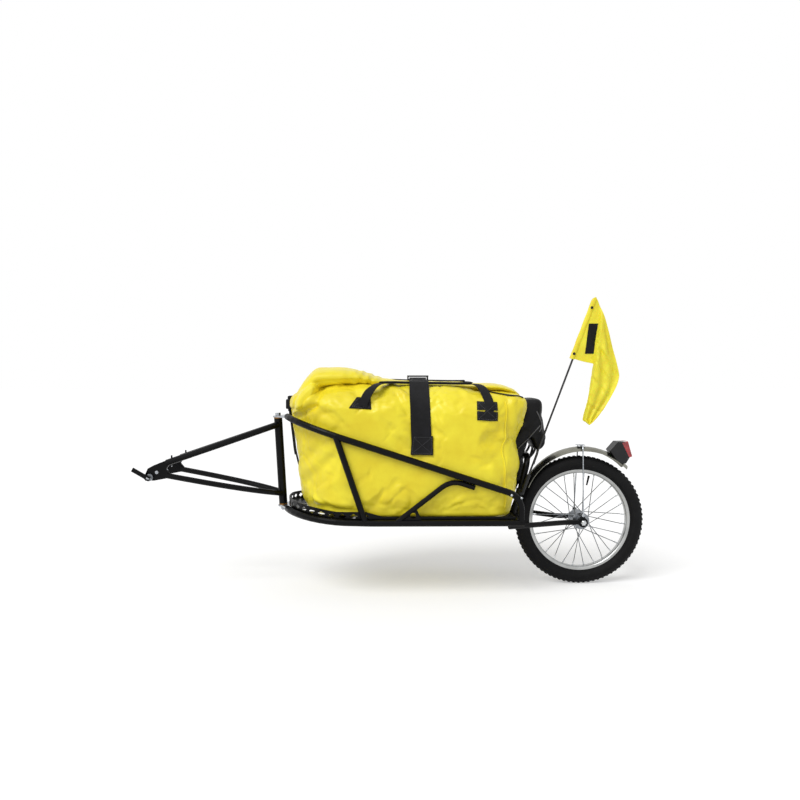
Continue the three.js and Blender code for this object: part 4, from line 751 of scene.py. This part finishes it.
def evenLine(line, count):
    # the same line with count points at even distances
    lengths = [0]
    for a, b in zip(line, line[1:]):
        lengths.append(lengths[-1] + (b - a).length)
    made, k = [], 0
    for i in range(count):
        want = lengths[-1] * i / (count - 1)
        while k < len(line) - 2 and lengths[k + 1] < want:
            k += 1
        span = max(lengths[k + 1] - lengths[k], 1e-9)
        made.append(line[k].lerp(line[k + 1], min(1, (want - lengths[k]) / span)))
    return made


def within(corners, u, v):
    # the spot at shares u along and v up between four corners, given round their outline
    (x0, z0), (x1, z1), (x2, z2), (x3, z3) = corners
    x = (1 - v) * ((1 - u) * x0 + u * x1) + v * ((1 - u) * x3 + u * x2)
    z = (1 - v) * ((1 - u) * z0 + u * z1) + v * ((1 - u) * z3 + u * z2)
    return x, z


def wallSpot(skin, side, x, z, lift):
    # the spot of a side wall at x and z, and lift outside it, found from well beyond the load
    hit, normal, _, _ = skin.ray_cast(at(x, side * 400, z), Vector((0, -side, 0)))
    return hit + normal * lift * mm


def wallPatch(name, side, corners, lift, thick):
    # a sewn patch on the bag's side: corners (x, z) bottom front, bottom rear, top rear, top front
    shares = [i / 8 for i in range(9)]
    grid = [[wallSpot(bagSkin, side, *within(corners, u, v), lift) for u in shares]
            for v in reversed(shares)]
    return band(name, grid if side < 0 else [row[::-1] for row in grid], thick)


stitching = {"pitch": 5, "length": 3.6, "radius": 0.55, "sides": 6, "inset": 4}
stitches = []  # the two ends of every stitch


def stitchLine(points):
    total = sum((b - a).length for a, b in zip(points, points[1:]))
    count = max(2, round(total / (stitching["pitch"] * mm)))
    line = evenLine(points, count * 2 + 1)
    for i in range(1, 2 * count, 2):
        run = runAt(line, i) * stitching["length"] / 2 * mm
        stitches.append((line[i] - run, line[i] + run))


def stitchPatch(side, corners, lift):
    # a line all round the patch and a cross over it
    midX = sum(x for x, z in corners) / 4
    midZ = sum(z for x, z in corners) / 4
    inset = stitching["inset"]
    spots = [(x - math.copysign(inset, x - midX), z - math.copysign(inset, z - midZ))
             for x, z in corners]
    for a, b in ((0, 1), (1, 2), (2, 3), (3, 0), (0, 2), (1, 3)):
        (ax, az), (bx, bz) = spots[a], spots[b]
        stitchLine([wallSpot(bagSkin, side, ax + (bx - ax) * t / 8, az + (bz - az) * t / 8, lift)
                    for t in range(9)])


def makeStitches():
    # each stitch is a small spindle
    points, faces = [], []
    sides = stitching["sides"]
    for start, end in stitches:
        run = (end - start).normalized()
        wide = run.orthogonal().normalized()
        other = run.cross(wide)
        first = len(points)
        points.append(start)
        for share in (0.25, 0.75):
            points += [start.lerp(end, share) + (wide * c + other * s) * stitching["radius"] * mm
                       for c, s in circle(sides)]
        points.append(end)
        near, far = first + 1, first + 1 + sides
        for k in range(sides):
            n = (k + 1) % sides
            faces.append([first, near + n, near + k])
            faces.append([near + k, near + n, far + n, far + k])
            faces.append([far + k, far + n, far + sides])
    thread = newPiece("bagStitches", points, faces)
    turnOutwards(thread)
    settle(thread, "load", "black_webbing", "greyThreadAndHighlight", angle=60)


def makeCentreStrap():
    look = webbing["centre"]
    rows = look["rows"]
    across = [(j / 4 - 0.5) * look["width"] for j in range(5)]
    middle = (look["footX"] + look["topX"]) / 2
    lines = [evenLine(tautLine(loadSkin, middle + x, look["foot"]), rows) for x in across]
    top = max(point.z for point in lines[2])
    foot = at(0, 0, look["foot"]).z
    grid = []
    for i in range(rows):  # it leans from its foot up to four fifths of its height
        rise = (lines[2][i].z - foot) / (top - foot)
        shift = (look["footX"] + (look["topX"] - look["footX"]) * min(1, rise * 1.25)) - middle
        grid.append([line[i] + Vector((shift * mm, 0, 0)) for line in lines])
    centre = at(middle, 0, look["core"])
    for row in grid:
        for j, point in enumerate(row):
            out = Vector((0, point.y - centre.y, point.z - centre.z)).normalized()
            hit = loadSkin.ray_cast(Vector((point.x, centre.y, centre.z)) + out * 0.5, -out)[0]
            reach = max((point - centre).dot(out), (hit - centre).dot(out)) if hit else 0
            row[j] = point + out * (reach - (point - centre).dot(out) + webbing["lift"] * mm)
    for i in range(1, len(grid) - 1):  # a tight strap has no dents
        for j in range(5):
            grid[i][j] = grid[i][j].lerp((grid[i - 1][j] + grid[i + 1][j]) / 2, 0.3)
    strap = band("strapRun", grid[::-1], webbing["thick"])
    x, z = look["footX"], look["foot"]
    wide, tall = look["patch"]
    corners = [(x - wide / 2, z - 2), (x + wide / 2, z - 3), (x + wide / 2 + 1, z + tall),
               (x - wide / 2 + 3, z + tall + 1)]
    over, seam = 3.8, 6.4  # patch and stitches outside the bag
    patches = [wallPatch("strapPatch", side, corners, over, webbing["thick"]) for side in (-1, 1)]
    for side in (-1, 1):
        stitchPatch(side, corners, seam)
    return settle(joined("centreStrap", [strap, *patches]), "load", "black_webbing",
                  stands=["centre_strap"])


def makeHandle(name, side):
    look = webbing["handle"]
    high = look["high"]["left" if side < 0 else "right"]
    (highZ, highRun), (lieZ, lieRun) = look["highFrom"], look["lieFrom"]
    line = [at(x, side * y, z + high * max(0, (z - highZ) / highRun))
            for x, y, z in smoothRows(look["line"])]
    grid, grip = [], []
    for i, point in enumerate(line):
        run = runAt(line, i)
        x, _, z = back(point)
        lying = clamped((z - lieZ) / lieRun)
        out = Vector((0, side * (1 - lying), lying)).normalized()
        wide = run.cross(out).normalized()
        row = []
        for share in (-1, -0.5, 0, 0.5, 1):
            spot = point + wide * share * look["width"] * mm / 2
            near, normal, _, _ = bagSkin.find_nearest(spot)
            short = webbing["lift"] * mm - (spot - near).dot(normal)
            row.append(spot + normal * max(0, short))
        grid.append(row)
        if look["grip"][0] <= x <= look["grip"][1]:
            up = wide.cross(run)
            up *= math.copysign(1, up.z)
            grip.append([row[2] + (wide * c * look["gripWide"] / 2
                                   + up * (s * look["gripThick"] / 2 + 1)) * mm
                         for c, s in circle(14)])
    strap = band("handleRun", grid, webbing["thick"])
    around = loft("handleGrip", grip)
    around.data.uv_layers.new(name="weave")
    over, thick, seam = 1, 2, 3.3  # patch, its thickness, and stitches outside the bag
    feet = [wallPatch("handleFoot", side, corners, over, thick) for corners in look["patches"]]
    for corners in look["seams"]:
        stitchPatch(side, corners, seam)
    return settle(joined(name, [strap, around, *feet]), "load", "black_webbing",
                  stands=["handle_left" if side < 0 else "handle_right"])


handleLeft = makeHandle("handleLeft", -1)
handleRight = makeHandle("handleRight", 1)
loadSkin = skinOf(bag, roll, handleLeft, handleRight)
centreStrap = makeCentreStrap()
strapTop = max(vertex.co.z for vertex in centreStrap.data.vertices)

# cam buckle over the middle of the strap: two plates with the folded strap end between them, the
# end painted grey as a highlight
centreBuckle = {"long": 64, "wide": 50, "plate": 4.5, "fold": 9, "rim": 7, "dish": 1.5,
                "cheek": (4, 34, 15), "layers": 4, "layerGap": 0.4, "sag": 0.6,
                # its foot lies below the strap's top, and the cheeks' middle above that foot
                "sink": 7, "cheekRise": 9}


def makeCentreBuckle():
    look = centreBuckle
    x, seat = webbing["centre"]["topX"], strapTop / mm - look["sink"]
    plates = []
    for low in (seat, seat + look["plate"] + look["fold"]):
        plate = startBlock("plate", (x, 0, low + look["plate"] / 2),
                           (look["long"], look["wide"], look["plate"]))
        choose(plate)
        bpy.ops.object.mode_set(mode="EDIT")
        form = bmesh.from_edit_mesh(plate.data)
        for face in form.faces:
            face.select_set(face.normal.z > 0.9)
        bmesh.update_edit_mesh(plate.data)
        bpy.ops.mesh.inset(thickness=look["rim"] * mm)
        bpy.ops.mesh.extrude_region_move(
            TRANSFORM_OT_translate={"value": (0, 0, -look["dish"] * mm)})
        bpy.ops.object.mode_set(mode="OBJECT")
        plates.append(rounded(plate, 1.2))
    for side in (-1, 1):  # the cheeks that carry the cam
        place = (x + side * (look["long"] - look["cheek"][0]) / 2, 0, seat + look["cheekRise"])
        plates.append(rounded(startBlock("cheek", place, look["cheek"]), 1.5))
    settle(joined("centreBuckle", plates), "load", "black_plastic", stands=["centre_buckle"])
    layers = []
    pitch = look["fold"] / look["layers"]
    length = look["long"] - 2 * look["rim"]
    for k in range(look["layers"]):
        low = seat + look["plate"] + k * pitch
        width = look["wide"] - 4 + 3 * (k % 2)  # every other fold looks out a little
        grid = []
        for i in range(25):
            sag = look["sag"] * math.sin(i / 24 * math.pi)
            grid.append([at(x + (j / 4 - 0.5) * length, (i / 24 - 0.5) * width, low + sag)
                         for j in range(5)])
        layers.append(band("foldedEnd", grid, pitch - look["layerGap"]))
    # the folded black webbing is painted grey here: painted highlight for the stripe between the
    # plates
    settle(joined("foldedStrapEnd", layers), "load", "black_webbing", "greyThreadAndHighlight")


makeCentreBuckle()


def makeNoseStrap():
    look = webbing["nose"]
    line = evenLine([at(x, 0, z) for x, z in smoothRows(look["line"])], 61)
    grid = []
    for i, point in enumerate(line):
        sway = look["sway"] * math.sin(i / 7) * min(1, i / 20)
        grid.append([point + Vector((sway * mm, (0.5 - j / 4) * look["width"] * mm, 0))
                     for j in range(5)])
    strap = band("noseRun", grid, webbing["thick"])
    # the loose end lies over the strap down to two thirds of its length
    lift = Vector((-look["tailLift"] * mm, 0, 0))
    tail = band("noseTail", [[point + lift for point in row]
                             for row in grid[slice(*look["tail"])]], webbing["thick"])
    parts = [rounded(startBlock("noseBuckle", centre, size), width, segments)
             for centre, size, width, segments in look["buckle"]]
    settle(joined("frontClosure", [strap, tail, *parts]), "load", "black_webbing",
           stands=["front_closure"])


makeNoseStrap()
makeStitches()


def makeWelts():
    look = webbing["welt"]
    low, high = look["span"]
    welts = []
    for side in (-1, 1):
        line = []
        inwards = Vector((-0.72, -side * 0.7, 0)).normalized()  # meets the edge from behind
        for i in range(70):
            start = at(-100, side * 320, low + (high - low) * i / 69)
            hit, normal, _, _ = bagSkin.ray_cast(start, inwards)
            if hit:
                line.append(hit + normal * look["lift"] * mm)
        welts.append(cord("welt", eased(evenLine(line, 90), 4), look["radius"]))
    settle(joined("endWelts", welts), "load", "yellow_coated_cloth", angle=60)


makeWelts()


# a black webbing strip on each side under the roll's rear end: painted shadow of the gap there
def makeRollShadowStrip():
    look = webbing["rear"]
    strips = []
    for side in (-1, 1):
        line = [wallSpot(bagSkin, side, x, z, look["lift"]) for x, z in smoothRows(look["line"])]
        line = eased(evenLine(line, 30), 6)
        across = []
        for i, point in enumerate(line):
            out = bagSkin.find_nearest(point)[1]
            across.append((out.cross(runAt(line, i)) * side).normalized())
        strips.append(ribbon("rollShadowStrip", side, line, across, look["width"], look["thick"]))
    settle(joined("rollShadowStrips", strips), "load", "black_webbing")


makeRollShadowStrip()

# ---- pouch on the rear of the bag

print("stage: rear pouch")
rearPouchAndShadeFill = {
    # outline from the side, from the bag's back over the top and round the lower lobe
    "outline": [(-236, 252), (-232, 300), (-226, 350), (-218, 400), (-222, 440), (-208, 480),
                (-198, 520), (-188, 556), (-180, 569), (-166, 573), (-142, 573), (-130, 567),
                (-125, 552), (-124, 515), (-119, 480), (-113, 455), (-117, 433), (-131, 419),
                (-146, 422), (-156, 440), (-164, 454), (-172, 430), (-182, 402), (-188, 372),
                (-194, 345), (-202, 315), (-208, 296), (-214, 278), (-218, 258), (-228, 249)],
    # place across and how far the outline is drawn in there
    "rounding": [(-62, 12), (-60, 7), (-54, 3), (-44, 0.5), (0, 0), (44, 0.5), (54, 3), (60, 7),
                 (62, 12)],
    # how far it swells out between the hoop's legs, by height; this black swelling fills dark space
    # there and is partly painted shade
    "bulge": [(255, 0), (290, 7), (325, 14), (360, 15), (395, 6), (408, 0)],
    "bulgeHalf": 48, "voxel": 4.5,
    # creases of the side: height at x = -160, slope, depth and width
    "creases": [(500, 0.6, 2.5, 7), (470, -0.5, 2, 6)], "ripple": (2.2, 34),
    "panelFace": -214, "gripFrom": (-204, 400),  # in front of or below it the cloth is held
    "clear": 0.8, "feels": 12,  # kept from the bag, and from how near
    # grey cords on the side, a painted highlight for the sheen on the black cloth (along, up), and
    # loose strap ends
    "highlightCords": [[(-200, 424), (-184, 440), (-167, 456), (-150, 476), (-133, 494)],
               [(-145, 537), (-134, 515), (-129, 498), (-131, 484), (-137, 474)]],
    "tails": [[(-143, 432), (-150, 412), (-163, 396), (-176, 386)],
              [(-137, 430), (-138, 410), (-144, 392), (-150, 374)]],
    "pipe": 1.7, "pipeLift": 0.8, "tailWidth": 7.2, "tailThick": 1.4, "tailPlaces": (50, 44),
    "tailRows": 16,
    "cap": 6, "pressure": 3, "slack": -0.02, "frames": 14,
}


def insetOutline(outline, inset):
    # the outline moved inwards by inset; it runs round with its inside on the right
    moved = []
    for i, (x, z) in enumerate(outline):
        (ax, az), (bx, bz) = outline[i - 1], outline[(i + 1) % len(outline)]
        runX, runZ = bx - ax, bz - az
        length = math.hypot(runX, runZ)
        moved.append((x + runZ / length * inset, z - runX / length * inset))
    return moved


# the pouch's low part down the bag's back and its swelling between the hoop's legs are partly a
# black pouch, partly painted shade
def makePouch():
    look = rearPouchAndShadeFill
    outline = smoothRows(look["outline"] + look["outline"][:1], 3)[:-1]
    pouch = loft("rearPouchAndShadeFill", [[at(x, y, z) for x, z in insetOutline(outline, inset)]
                               for y, inset in look["rounding"]])
    voxelShell(pouch, look["voxel"])
    rippleDepth, rippleSize = look["ripple"]
    for vertex in pouch.data.vertices:
        x, y, z = back(vertex.co)
        rise = rippleDepth * noise.noise(Vector((x, y * 0.7, z)) / rippleSize)
        rise -= sum(depth * bump(z - middle - slope * (x + 160), 0, width)
                    for middle, slope, depth, width in look["creases"])
        vertex.co += vertex.normal * rise * mm
        for (low, less), (high, more) in zip(look["bulge"], look["bulge"][1:]):
            if low <= z < high and x > look["panelFace"]:
                swell = less + (more - less) * (z - low) / (high - low)
                vertex.co.x += swell * max(0, 1 - (y / look["bulgeHalf"]) ** 6) * mm
    heldX, heldZ = look["gripFrom"]
    puff(pouch, look, lambda x, y, z: 1 if x < heldX or z < heldZ else 0)
    for vertex in pouch.data.vertices:  # behind the bag, not in it
        hit, normal, _, _ = bagSkin.find_nearest(vertex.co, look["feels"] * mm)
        if hit:
            short = look["clear"] * mm - (vertex.co - hit).dot(normal)
            if short > 0:
                vertex.co += normal * short
    applyModifier(pouch, "SMOOTH", factor=0.4, iterations=2)
    applyModifier(pouch, "SUBSURF", levels=1, render_levels=1)
    return settle(pouch, "load", "black_webbing", "coatedOxford", stands=["rear_pouch"],
                  angle=180)


pouch = makePouch()


def makePouchTrim():
    look = rearPouchAndShadeFill
    skin = skinOf(pouch)
    cords, tails = [], []
    for side in (-1, 1):
        for points in look["highlightCords"]:
            line = [wallSpot(skin, side, x, z, look["pipeLift"]) for x, z in smoothRows(points)]
            cords.append(cord("highlightCords", evenLine(line, 40), look["pipe"]))
        for y, points in zip(look["tailPlaces"], look["tails"]):
            line = evenLine([at(x, side * y, z) for x, z in smoothRows(points)],
                            look["tailRows"])
            across = [runAt(line, i).cross(Vector((0, 1, 0))).normalized()
                      for i in range(look["tailRows"])]
            tails.append(ribbon("tail", side, line, across, look["tailWidth"],
                                look["tailThick"]))
    # the grey cords are a painted highlight on the black pouch
    settle(joined("pouchHighlightCords", cords), "load", "black_webbing", "greyThreadAndHighlight", angle=60)
    settle(joined("pouchTails", tails), "load", "black_webbing")


makePouchTrim()

# ---- flag

print("stage: flag")
flagLook = {
    # upper and lower edge from the pole to the tip, seen from the left
    "upper": [(26, 877), (34, 867), (46, 832), (59, 787), (72, 741), (88, 686), (96, 650),
              (96, 637), (89, 613), (68, 570), (43, 533), (19, 506), (8, 498)],
    "lower": [(-41, 695), (-10, 686), (19, 680), (21, 678), (18, 656), (12, 613), (3, 564),
              (-9, 515), (-4, 506), (8, 497)],
    # the fold that the hanging half starts from
    "foldLine": [(40, 880), (36, 808), (32, 759), (24, 717), (20, 670), (12, 613), (-12, 490)],
    "creases": [(34, 730, 86, 655, 4, 5), (26, 690, 66, 632, 3, 5), (16, 640, 58, 590, 3, 6),
                (52, 790, 66, 720, 3, 5), (2, 560, 40, 540, 2.5, 6)],
    "hoist": 190, "fly": 400, "rows": 70, "cols": 56, "thick": 0.9,
    # how far the hanging half stands in front, and the height that this starts under
    "front": 24, "foldFrom": 868, "foldFade": 70, "lean": 10,
    "sway": (3, 2.2, 4),  # depth, waves across and how they turn along the cloth
    "ripple": (4, 4, 7),  # depth, and spots of noise across and along
    # the hem round the pole: its ends, half width and depth and shift off the pole, the share
    # of it where its tip starts, how far the tip draws in, and its ripple
    "sleeve": ((-40.5, 0, 693), (28.5, 0, 877)), "hem": (7.5, 4.6, 2.5), "hemTip": 0.94,
    "hemClose": 0.75, "hemRipple": 0.05,
    "snaps": [(15, 846), (-37, 709)], "snap": (4.2, 2.4, 5.6),  # radius, depth and place across
    "patch": [(7, 799), (34, 799), (21, 709), (-4, 709)], "patchThick": 0.8,
}
poleLow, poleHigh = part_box("flag_pole")
poleY = (poleLow.y + poleHigh.y) / 2 / mm


def makeFlag():
    look = flagLook
    rows, cols = look["rows"], look["cols"]
    swayDepth, swayWaves, swayTurn = look["sway"]
    rippleDepth, acrossSpots, alongSpots = look["ripple"]
    upper, lower = (evenLine([at(x, 0, z) for x, z in smoothRows(look[edge])], rows + 1)
                    for edge in ("upper", "lower"))
    grid = []
    for i in range(rows + 1):
        v = i / rows
        row = []
        for j in range(cols + 1):
            u = j / cols
            point = lower[i].lerp(upper[i], u)
            free = min(1, v * 4) ** 1.5
            x, _, z = back(point)
            for (foldX, foldZ), (nextX, nextZ) in zip(look["foldLine"], look["foldLine"][1:]):
                if nextZ <= z <= foldZ:
                    aside = x - (nextX + (foldX - nextX) * (z - nextZ) / (foldZ - nextZ))
            # the hanging half comes round in front of the half that the pole holds
            step = clamped(aside / 6 + 0.3) * clamped((look["foldFrom"] - z) / look["foldFade"])
            swing = -look["front"] * step * step * (3 - 2 * step) * (1 - 0.4 * v)
            swing += look["lean"] * step * clamped(aside / 60)
            swing += swayDepth * free * math.sin(math.tau * swayWaves * u + swayTurn * v)
            swing += rippleDepth * free * noise.noise(
                Vector((u * acrossSpots, v * alongSpots, 4)))
            swing -= free * sum(foldHeight(x, z, crease) for crease in look["creases"])
            row.append(point + Vector((0, (poleY + swing) * mm, 0)))
        grid.append(row)
    half = Vector((0, look["thick"] / 2 * mm, 0))  # the cloth lies half on either side
    cloth = band("flagCloth", [[point - half for point in row] for row in grid], look["thick"])
    return settle(cloth, "flag", "yellow_flag_cloth", stands=["flag"], angle=60)


def makeFlagSleeve():
    # the hem that the pole's end sits in, closed over its tip, with a snap at each end
    look = flagLook
    foot, top = (at(*end) for end in look["sleeve"])
    foot.y = top.y = poleY * mm
    wide = (top - foot).normalized().cross(Vector((0, 1, 0))).normalized()
    halfWide, halfDeep, shift = look["hem"]
    rings = []
    for i in range(31):
        share = i / 30
        tip = max(0, (share - look["hemTip"]) / (1 - look["hemTip"]))
        close = 1 - look["hemClose"] * tip ** 2
        ring = []
        for k in range(24):
            a = math.tau * k / 24
            ripple = 1 + look["hemRipple"] * math.sin(3 * a + 23 * share)
            reach = (wide * (shift + halfWide * ripple * math.cos(a))
                     + Vector((0, halfDeep * ripple * math.sin(a), 0)))
            ring.append(foot.lerp(top, share) + reach * close * mm)
        rings.append(ring)
    settle(loft("flagSleeve", rings), "flag", "yellow_flag_cloth", angle=60)
    radius, depth, aside = look["snap"]
    snaps = []
    for x, z in look["snaps"]:
        bpy.ops.object.select_all(action="DESELECT")
        bpy.ops.mesh.primitive_cylinder_add(vertices=24, radius=radius * mm, depth=depth * mm,
                                            location=at(x, poleY - aside, z),
                                            rotation=(math.pi / 2, 0, 0))
        snaps.append(rounded(inPlace(bpy.context.object), 1))
    settle(joined("flagSnaps", snaps), "flag", "black_plastic")


def makeFlagPatch():
    # plain black patch sewn on the half that the pole holds
    skin = skinOf(flag)
    thick = flagLook["patchThick"]
    lift = Vector((0, thick / 2 * mm, 0))
    grid = []
    for i in range(19):
        row = []
        for j in range(7):
            x, z = within(flagLook["patch"], j / 6, i / 18)
            hit = skin.ray_cast(at(x, poleY - 100, z), Vector((0, 1, 0)))[0]
            row.append((hit or at(x, poleY, z)) - lift)
        grid.append(row)
    settle(band("flagPatch", grid, thick), "flag", "black_webbing", "coatedOxford", angle=60)


flag = makeFlag()
makeFlagSleeve()
makeFlagPatch()

# ---- wheel

print("stage: wheel")
wheelLook = {
    "steps": 120,
    # outlines as (across, radius)
    "tyre": {"centre": 175.2, "half": 23, "crown": 21.3, "wall": 4,
             "bead": [(17.4, 161.4), (13.4, 156.6), (11.6, 153.4), (9.6, 156), (12.6, 163)],
             "outerArc": 130, "innerArc": 125},  # degrees from the crown to the bead
    # rows of lugs: across, radius, tilt, size
    "lugs": [(-4.7, 195.8, 0, (7, 7, 4)), (4.7, 195.8, 0, (7, 7, 4)),
             (-13.8, 191, 37, (7, 8, 3.4)), (13.8, 191, -37, (7, 8, 3.4))],
    "lugCount": 80,
    "rim": [(13, 160.4), (13, 151), (11.4, 147.6), (7.5, 145), (-7.5, 145), (-11.4, 147.6),
            (-13, 151), (-13, 160.4), (-11.5, 160.4), (-11.3, 153.6), (-8, 152), (0, 150.6),
            (8, 152), (11.3, 153.6), (11.5, 160.4)],
    # spokes are the hub's long edges, and edges that end this close together are one spoke's
    "nipple": {"radius": 2.1, "length": 14, "shift": 1.5, "shortest": 80, "apart": 8},
}
axleZ = (axleLow.z + axleHigh.z) / 2 / mm


def spun(name, outline):
    # closed outline turned round the wheel's axle
    count = len(outline)
    piece = newPiece(name, [at(0, y, axleZ + radius) for y, radius in outline], [],
                     [(i, (i + 1) % count) for i in range(count)])
    choose(piece)
    bpy.ops.object.mode_set(mode="EDIT")
    bpy.ops.mesh.select_all(action="SELECT")
    bpy.ops.mesh.spin(steps=wheelLook["steps"], angle=math.tau, center=at(0, 0, axleZ),
                      axis=(0, 1, 0))
    bpy.ops.mesh.select_all(action="SELECT")
    bpy.ops.mesh.remove_doubles(threshold=0.01 * mm)
    bpy.ops.mesh.normals_make_consistent(inside=False)
    bpy.ops.object.mode_set(mode="OBJECT")
    return piece


def makeTyre():
    look = wheelLook["tyre"]

    def arc(reach, inset, count):  # section of the tyre over its crown, count steps to a side
        turns = [math.radians(reach) * (i / count - 1) for i in range(2 * count + 1)]
        return [((look["half"] - inset) * math.sin(a),
                 look["centre"] + (look["crown"] - inset) * math.cos(a)) for a in turns]

    outline = arc(look["outerArc"], 0, 14) + look["bead"]
    outline += arc(look["innerArc"], look["wall"], 10)[::-1]
    outline += [(-y, radius) for y, radius in reversed(look["bead"])]
    carcass = spun("tyreCarcass", outline)
    count = wheelLook["lugCount"]
    lugs = []
    for y, radius, tilt, size in wheelLook["lugs"]:
        lug = startBlock("lug", (0, 0, 0), size)
        turn = math.pi / count * (tilt != 0)  # the outer rows stand in between
        lug.rotation_euler = (math.radians(tilt), 0, 0)
        lug.location = (at(math.sin(turn) * radius, y, axleZ + math.cos(turn) * radius)
                        - at(0, 0, 0))
        lugs.append(inPlace(lug))
    lugs = joined("lugs", lugs)
    choose(lugs)
    bpy.ops.object.mode_set(mode="EDIT")
    bpy.ops.mesh.select_all(action="SELECT")
    bpy.ops.mesh.spin(steps=count - 1, dupli=True, angle=math.tau * (1 - 1 / count),
                      center=at(0, 0, axleZ), axis=(0, 1, 0))
    bpy.ops.object.mode_set(mode="OBJECT")
    settle(joined("tyreBody", [carcass, lugs]), "wheel", "tyre_rubber", stands=["tyre"])


def makeRim():
    settle(spun("rimBody", wheelLook["rim"]), "wheel", "polished_alloy", "anodisedRim",
           stands=["rim"], angle=35)
    # a nipple over the end of every spoke
    look = wheelLook["nipple"]
    shape = nodes["hub"].data
    middle = at(0, 0, axleZ)
    spokes = []  # outer end and the way inwards
    for edge in shape.edges:
        inner, outer = sorted((shape.vertices[i].co for i in edge.vertices),
                              key=lambda end: (end - middle).length)
        if (outer - inner).length >= look["shortest"] * mm and all(
                (known - outer).length >= look["apart"] * mm for known, _ in spokes):
            spokes.append((outer.copy(), (inner - outer).normalized()))
    nipples = []
    for outer, inwards in spokes:
        bpy.ops.object.select_all(action="DESELECT")
        bpy.ops.mesh.primitive_cylinder_add(
            vertices=10, radius=look["radius"] * mm, depth=look["length"] * mm,
            location=outer - inwards * look["shift"] * mm,
            rotation=inwards.to_track_quat("Z", "Y").to_euler())
        nipples.append(inPlace(bpy.context.object))
    settle(joined("spokeNipples", nipples), "wheel", "polished_alloy")


makeTyre()
makeRim()


# the lens stands proud of the body and reaches back over it: at its foot, and more at its top
lensWrap = {"proud": 0.6, "foot": 3, "more": 9, "bevel": 0.8}


def makeLens():
    look = lensWrap
    source = nodes["tail_light_lens"].data
    lens = newPiece("lightLens", [vertex.co.copy() for vertex in source.vertices],
                    [list(face.vertices) for face in source.polygons])
    out = max((face for face in lens.data.polygons if face.normal.x > 0.3),
              key=lambda face: face.area).normal.copy()
    low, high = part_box("tail_light_lens")
    centre = (low + high) / 2
    for vertex in lens.data.vertices:
        depth = (vertex.co - centre).dot(out)
        aside = vertex.co - centre - out * depth
        share = (vertex.co.z - low.z) / (high.z - low.z)
        vertex.co += aside.normalized() * look["proud"] * mm
        if depth < 0:
            vertex.co -= out * (look["foot"] + look["more"] * share) * mm
    settle(rounded(lens, look["bevel"]), "frame", "red_lens", stands=["tail_light_lens"])


makeLens()


# button heads in the rails' rear corners: places along and up, place across, radius, flatness
cornerBolt = {"places": [(-241, 305), (-213, 297)], "aside": 209.4, "radius": 3.6, "flat": 0.6}


def makeCornerBolts():
    look = cornerBolt
    bolts = []
    for side in (-1, 1):
        for x, z in look["places"]:
            bpy.ops.object.select_all(action="DESELECT")
            bpy.ops.mesh.primitive_uv_sphere_add(
                segments=20, ring_count=12, radius=look["radius"] * mm,
                location=at(x, side * look["aside"], z))
            bolt = bpy.context.object
            bolt.scale = (1, look["flat"], 1)
            bolts.append(inPlace(bolt))
    settle(joined("cornerBolts", bolts), "frame", "zinc_steel", angle=60)


makeCornerBolts()

# ---- camera, floor and light

print("stage: camera and light")
# camera's place in mm, pitch and yaw in radians and lens in mm; sky and floorGlow are strengths
shot = {"place": (-584.08, -2393.5, 647.48), "pitch": 0.033, "yaw": -0.012, "lens": 34.92,
        "sensor": 36, "sky": 0.5, "sun": 1.88, "sunFrom": (-0.42, -0.55, 0.72),
        "sunSpread": 34, "floor": "e7e7e7", "floorRough": 0.9, "floorGlow": 0.33}
scene.view_settings.view_transform = "Standard"
bpy.ops.object.select_all(action="DESELECT")
bpy.ops.object.camera_add(location=at(*shot["place"]),
                          rotation=(math.pi / 2 - shot["pitch"], 0, shot["yaw"]))
camera = bpy.context.object
camera.data.lens = shot["lens"]
camera.data.sensor_width = shot["sensor"]
scene.camera = camera

bpy.ops.object.light_add(type="SUN", location=(0, 0, 3),
                         rotation=Vector(shot["sunFrom"]).to_track_quat("Z", "Y").to_euler())
sun = bpy.context.object
sun.data.energy = shot["sun"]
sun.data.angle = math.radians(shot["sunSpread"])


def seenRay(tree):
    # 1 for what the camera sees, straight or in metal and glass
    path = addNode(tree, "LightPath")
    mirrored = addNode(tree, "Math", {0: path.outputs["Is Glossy Ray"],
                                      1: path.outputs["Is Transmission Ray"]},
                       operation="ADD").outputs[0]
    return addNode(tree, "Math", {0: path.outputs["Is Camera Ray"], 1: mirrored},
                   operation="ADD", use_clamp=True).outputs[0]


studio = bpy.data.worlds.new("studio")
scene.world = studio
studio.use_nodes = True
tree = studio.node_tree
strength = addNode(tree, "MapRange", {"Value": seenRay(tree), "To Min": shot["sky"],
                                      "To Max": 1}).outputs[0]
background = tree.nodes["Background"]
background.inputs["Color"].default_value = (1, 1, 1, 1)
tree.links.new(strength, background.inputs["Strength"])

bpy.ops.mesh.primitive_plane_add(size=60, location=(0, 0, 0))
floor = bpy.context.object
floor.name = "floor"
floorPaint = bpy.data.materials.new("studioFloor")
floorPaint.use_nodes = True
tree = floorPaint.node_tree
shader = tree.nodes["Principled BSDF"]
shader.inputs["Base Color"].default_value = hexColour(shot["floor"])
shader.inputs["Roughness"].default_value = shot["floorRough"]
shader.inputs["Specular IOR Level"].default_value = 0
shader.inputs["Emission Color"].default_value = (1, 1, 1, 1)
glow = addNode(tree, "Math", {0: seenRay(tree), 1: shot["floorGlow"]}, operation="MULTIPLY")
tree.links.new(glow.outputs[0], shader.inputs["Emission Strength"])
floor.data.materials.append(floorPaint)
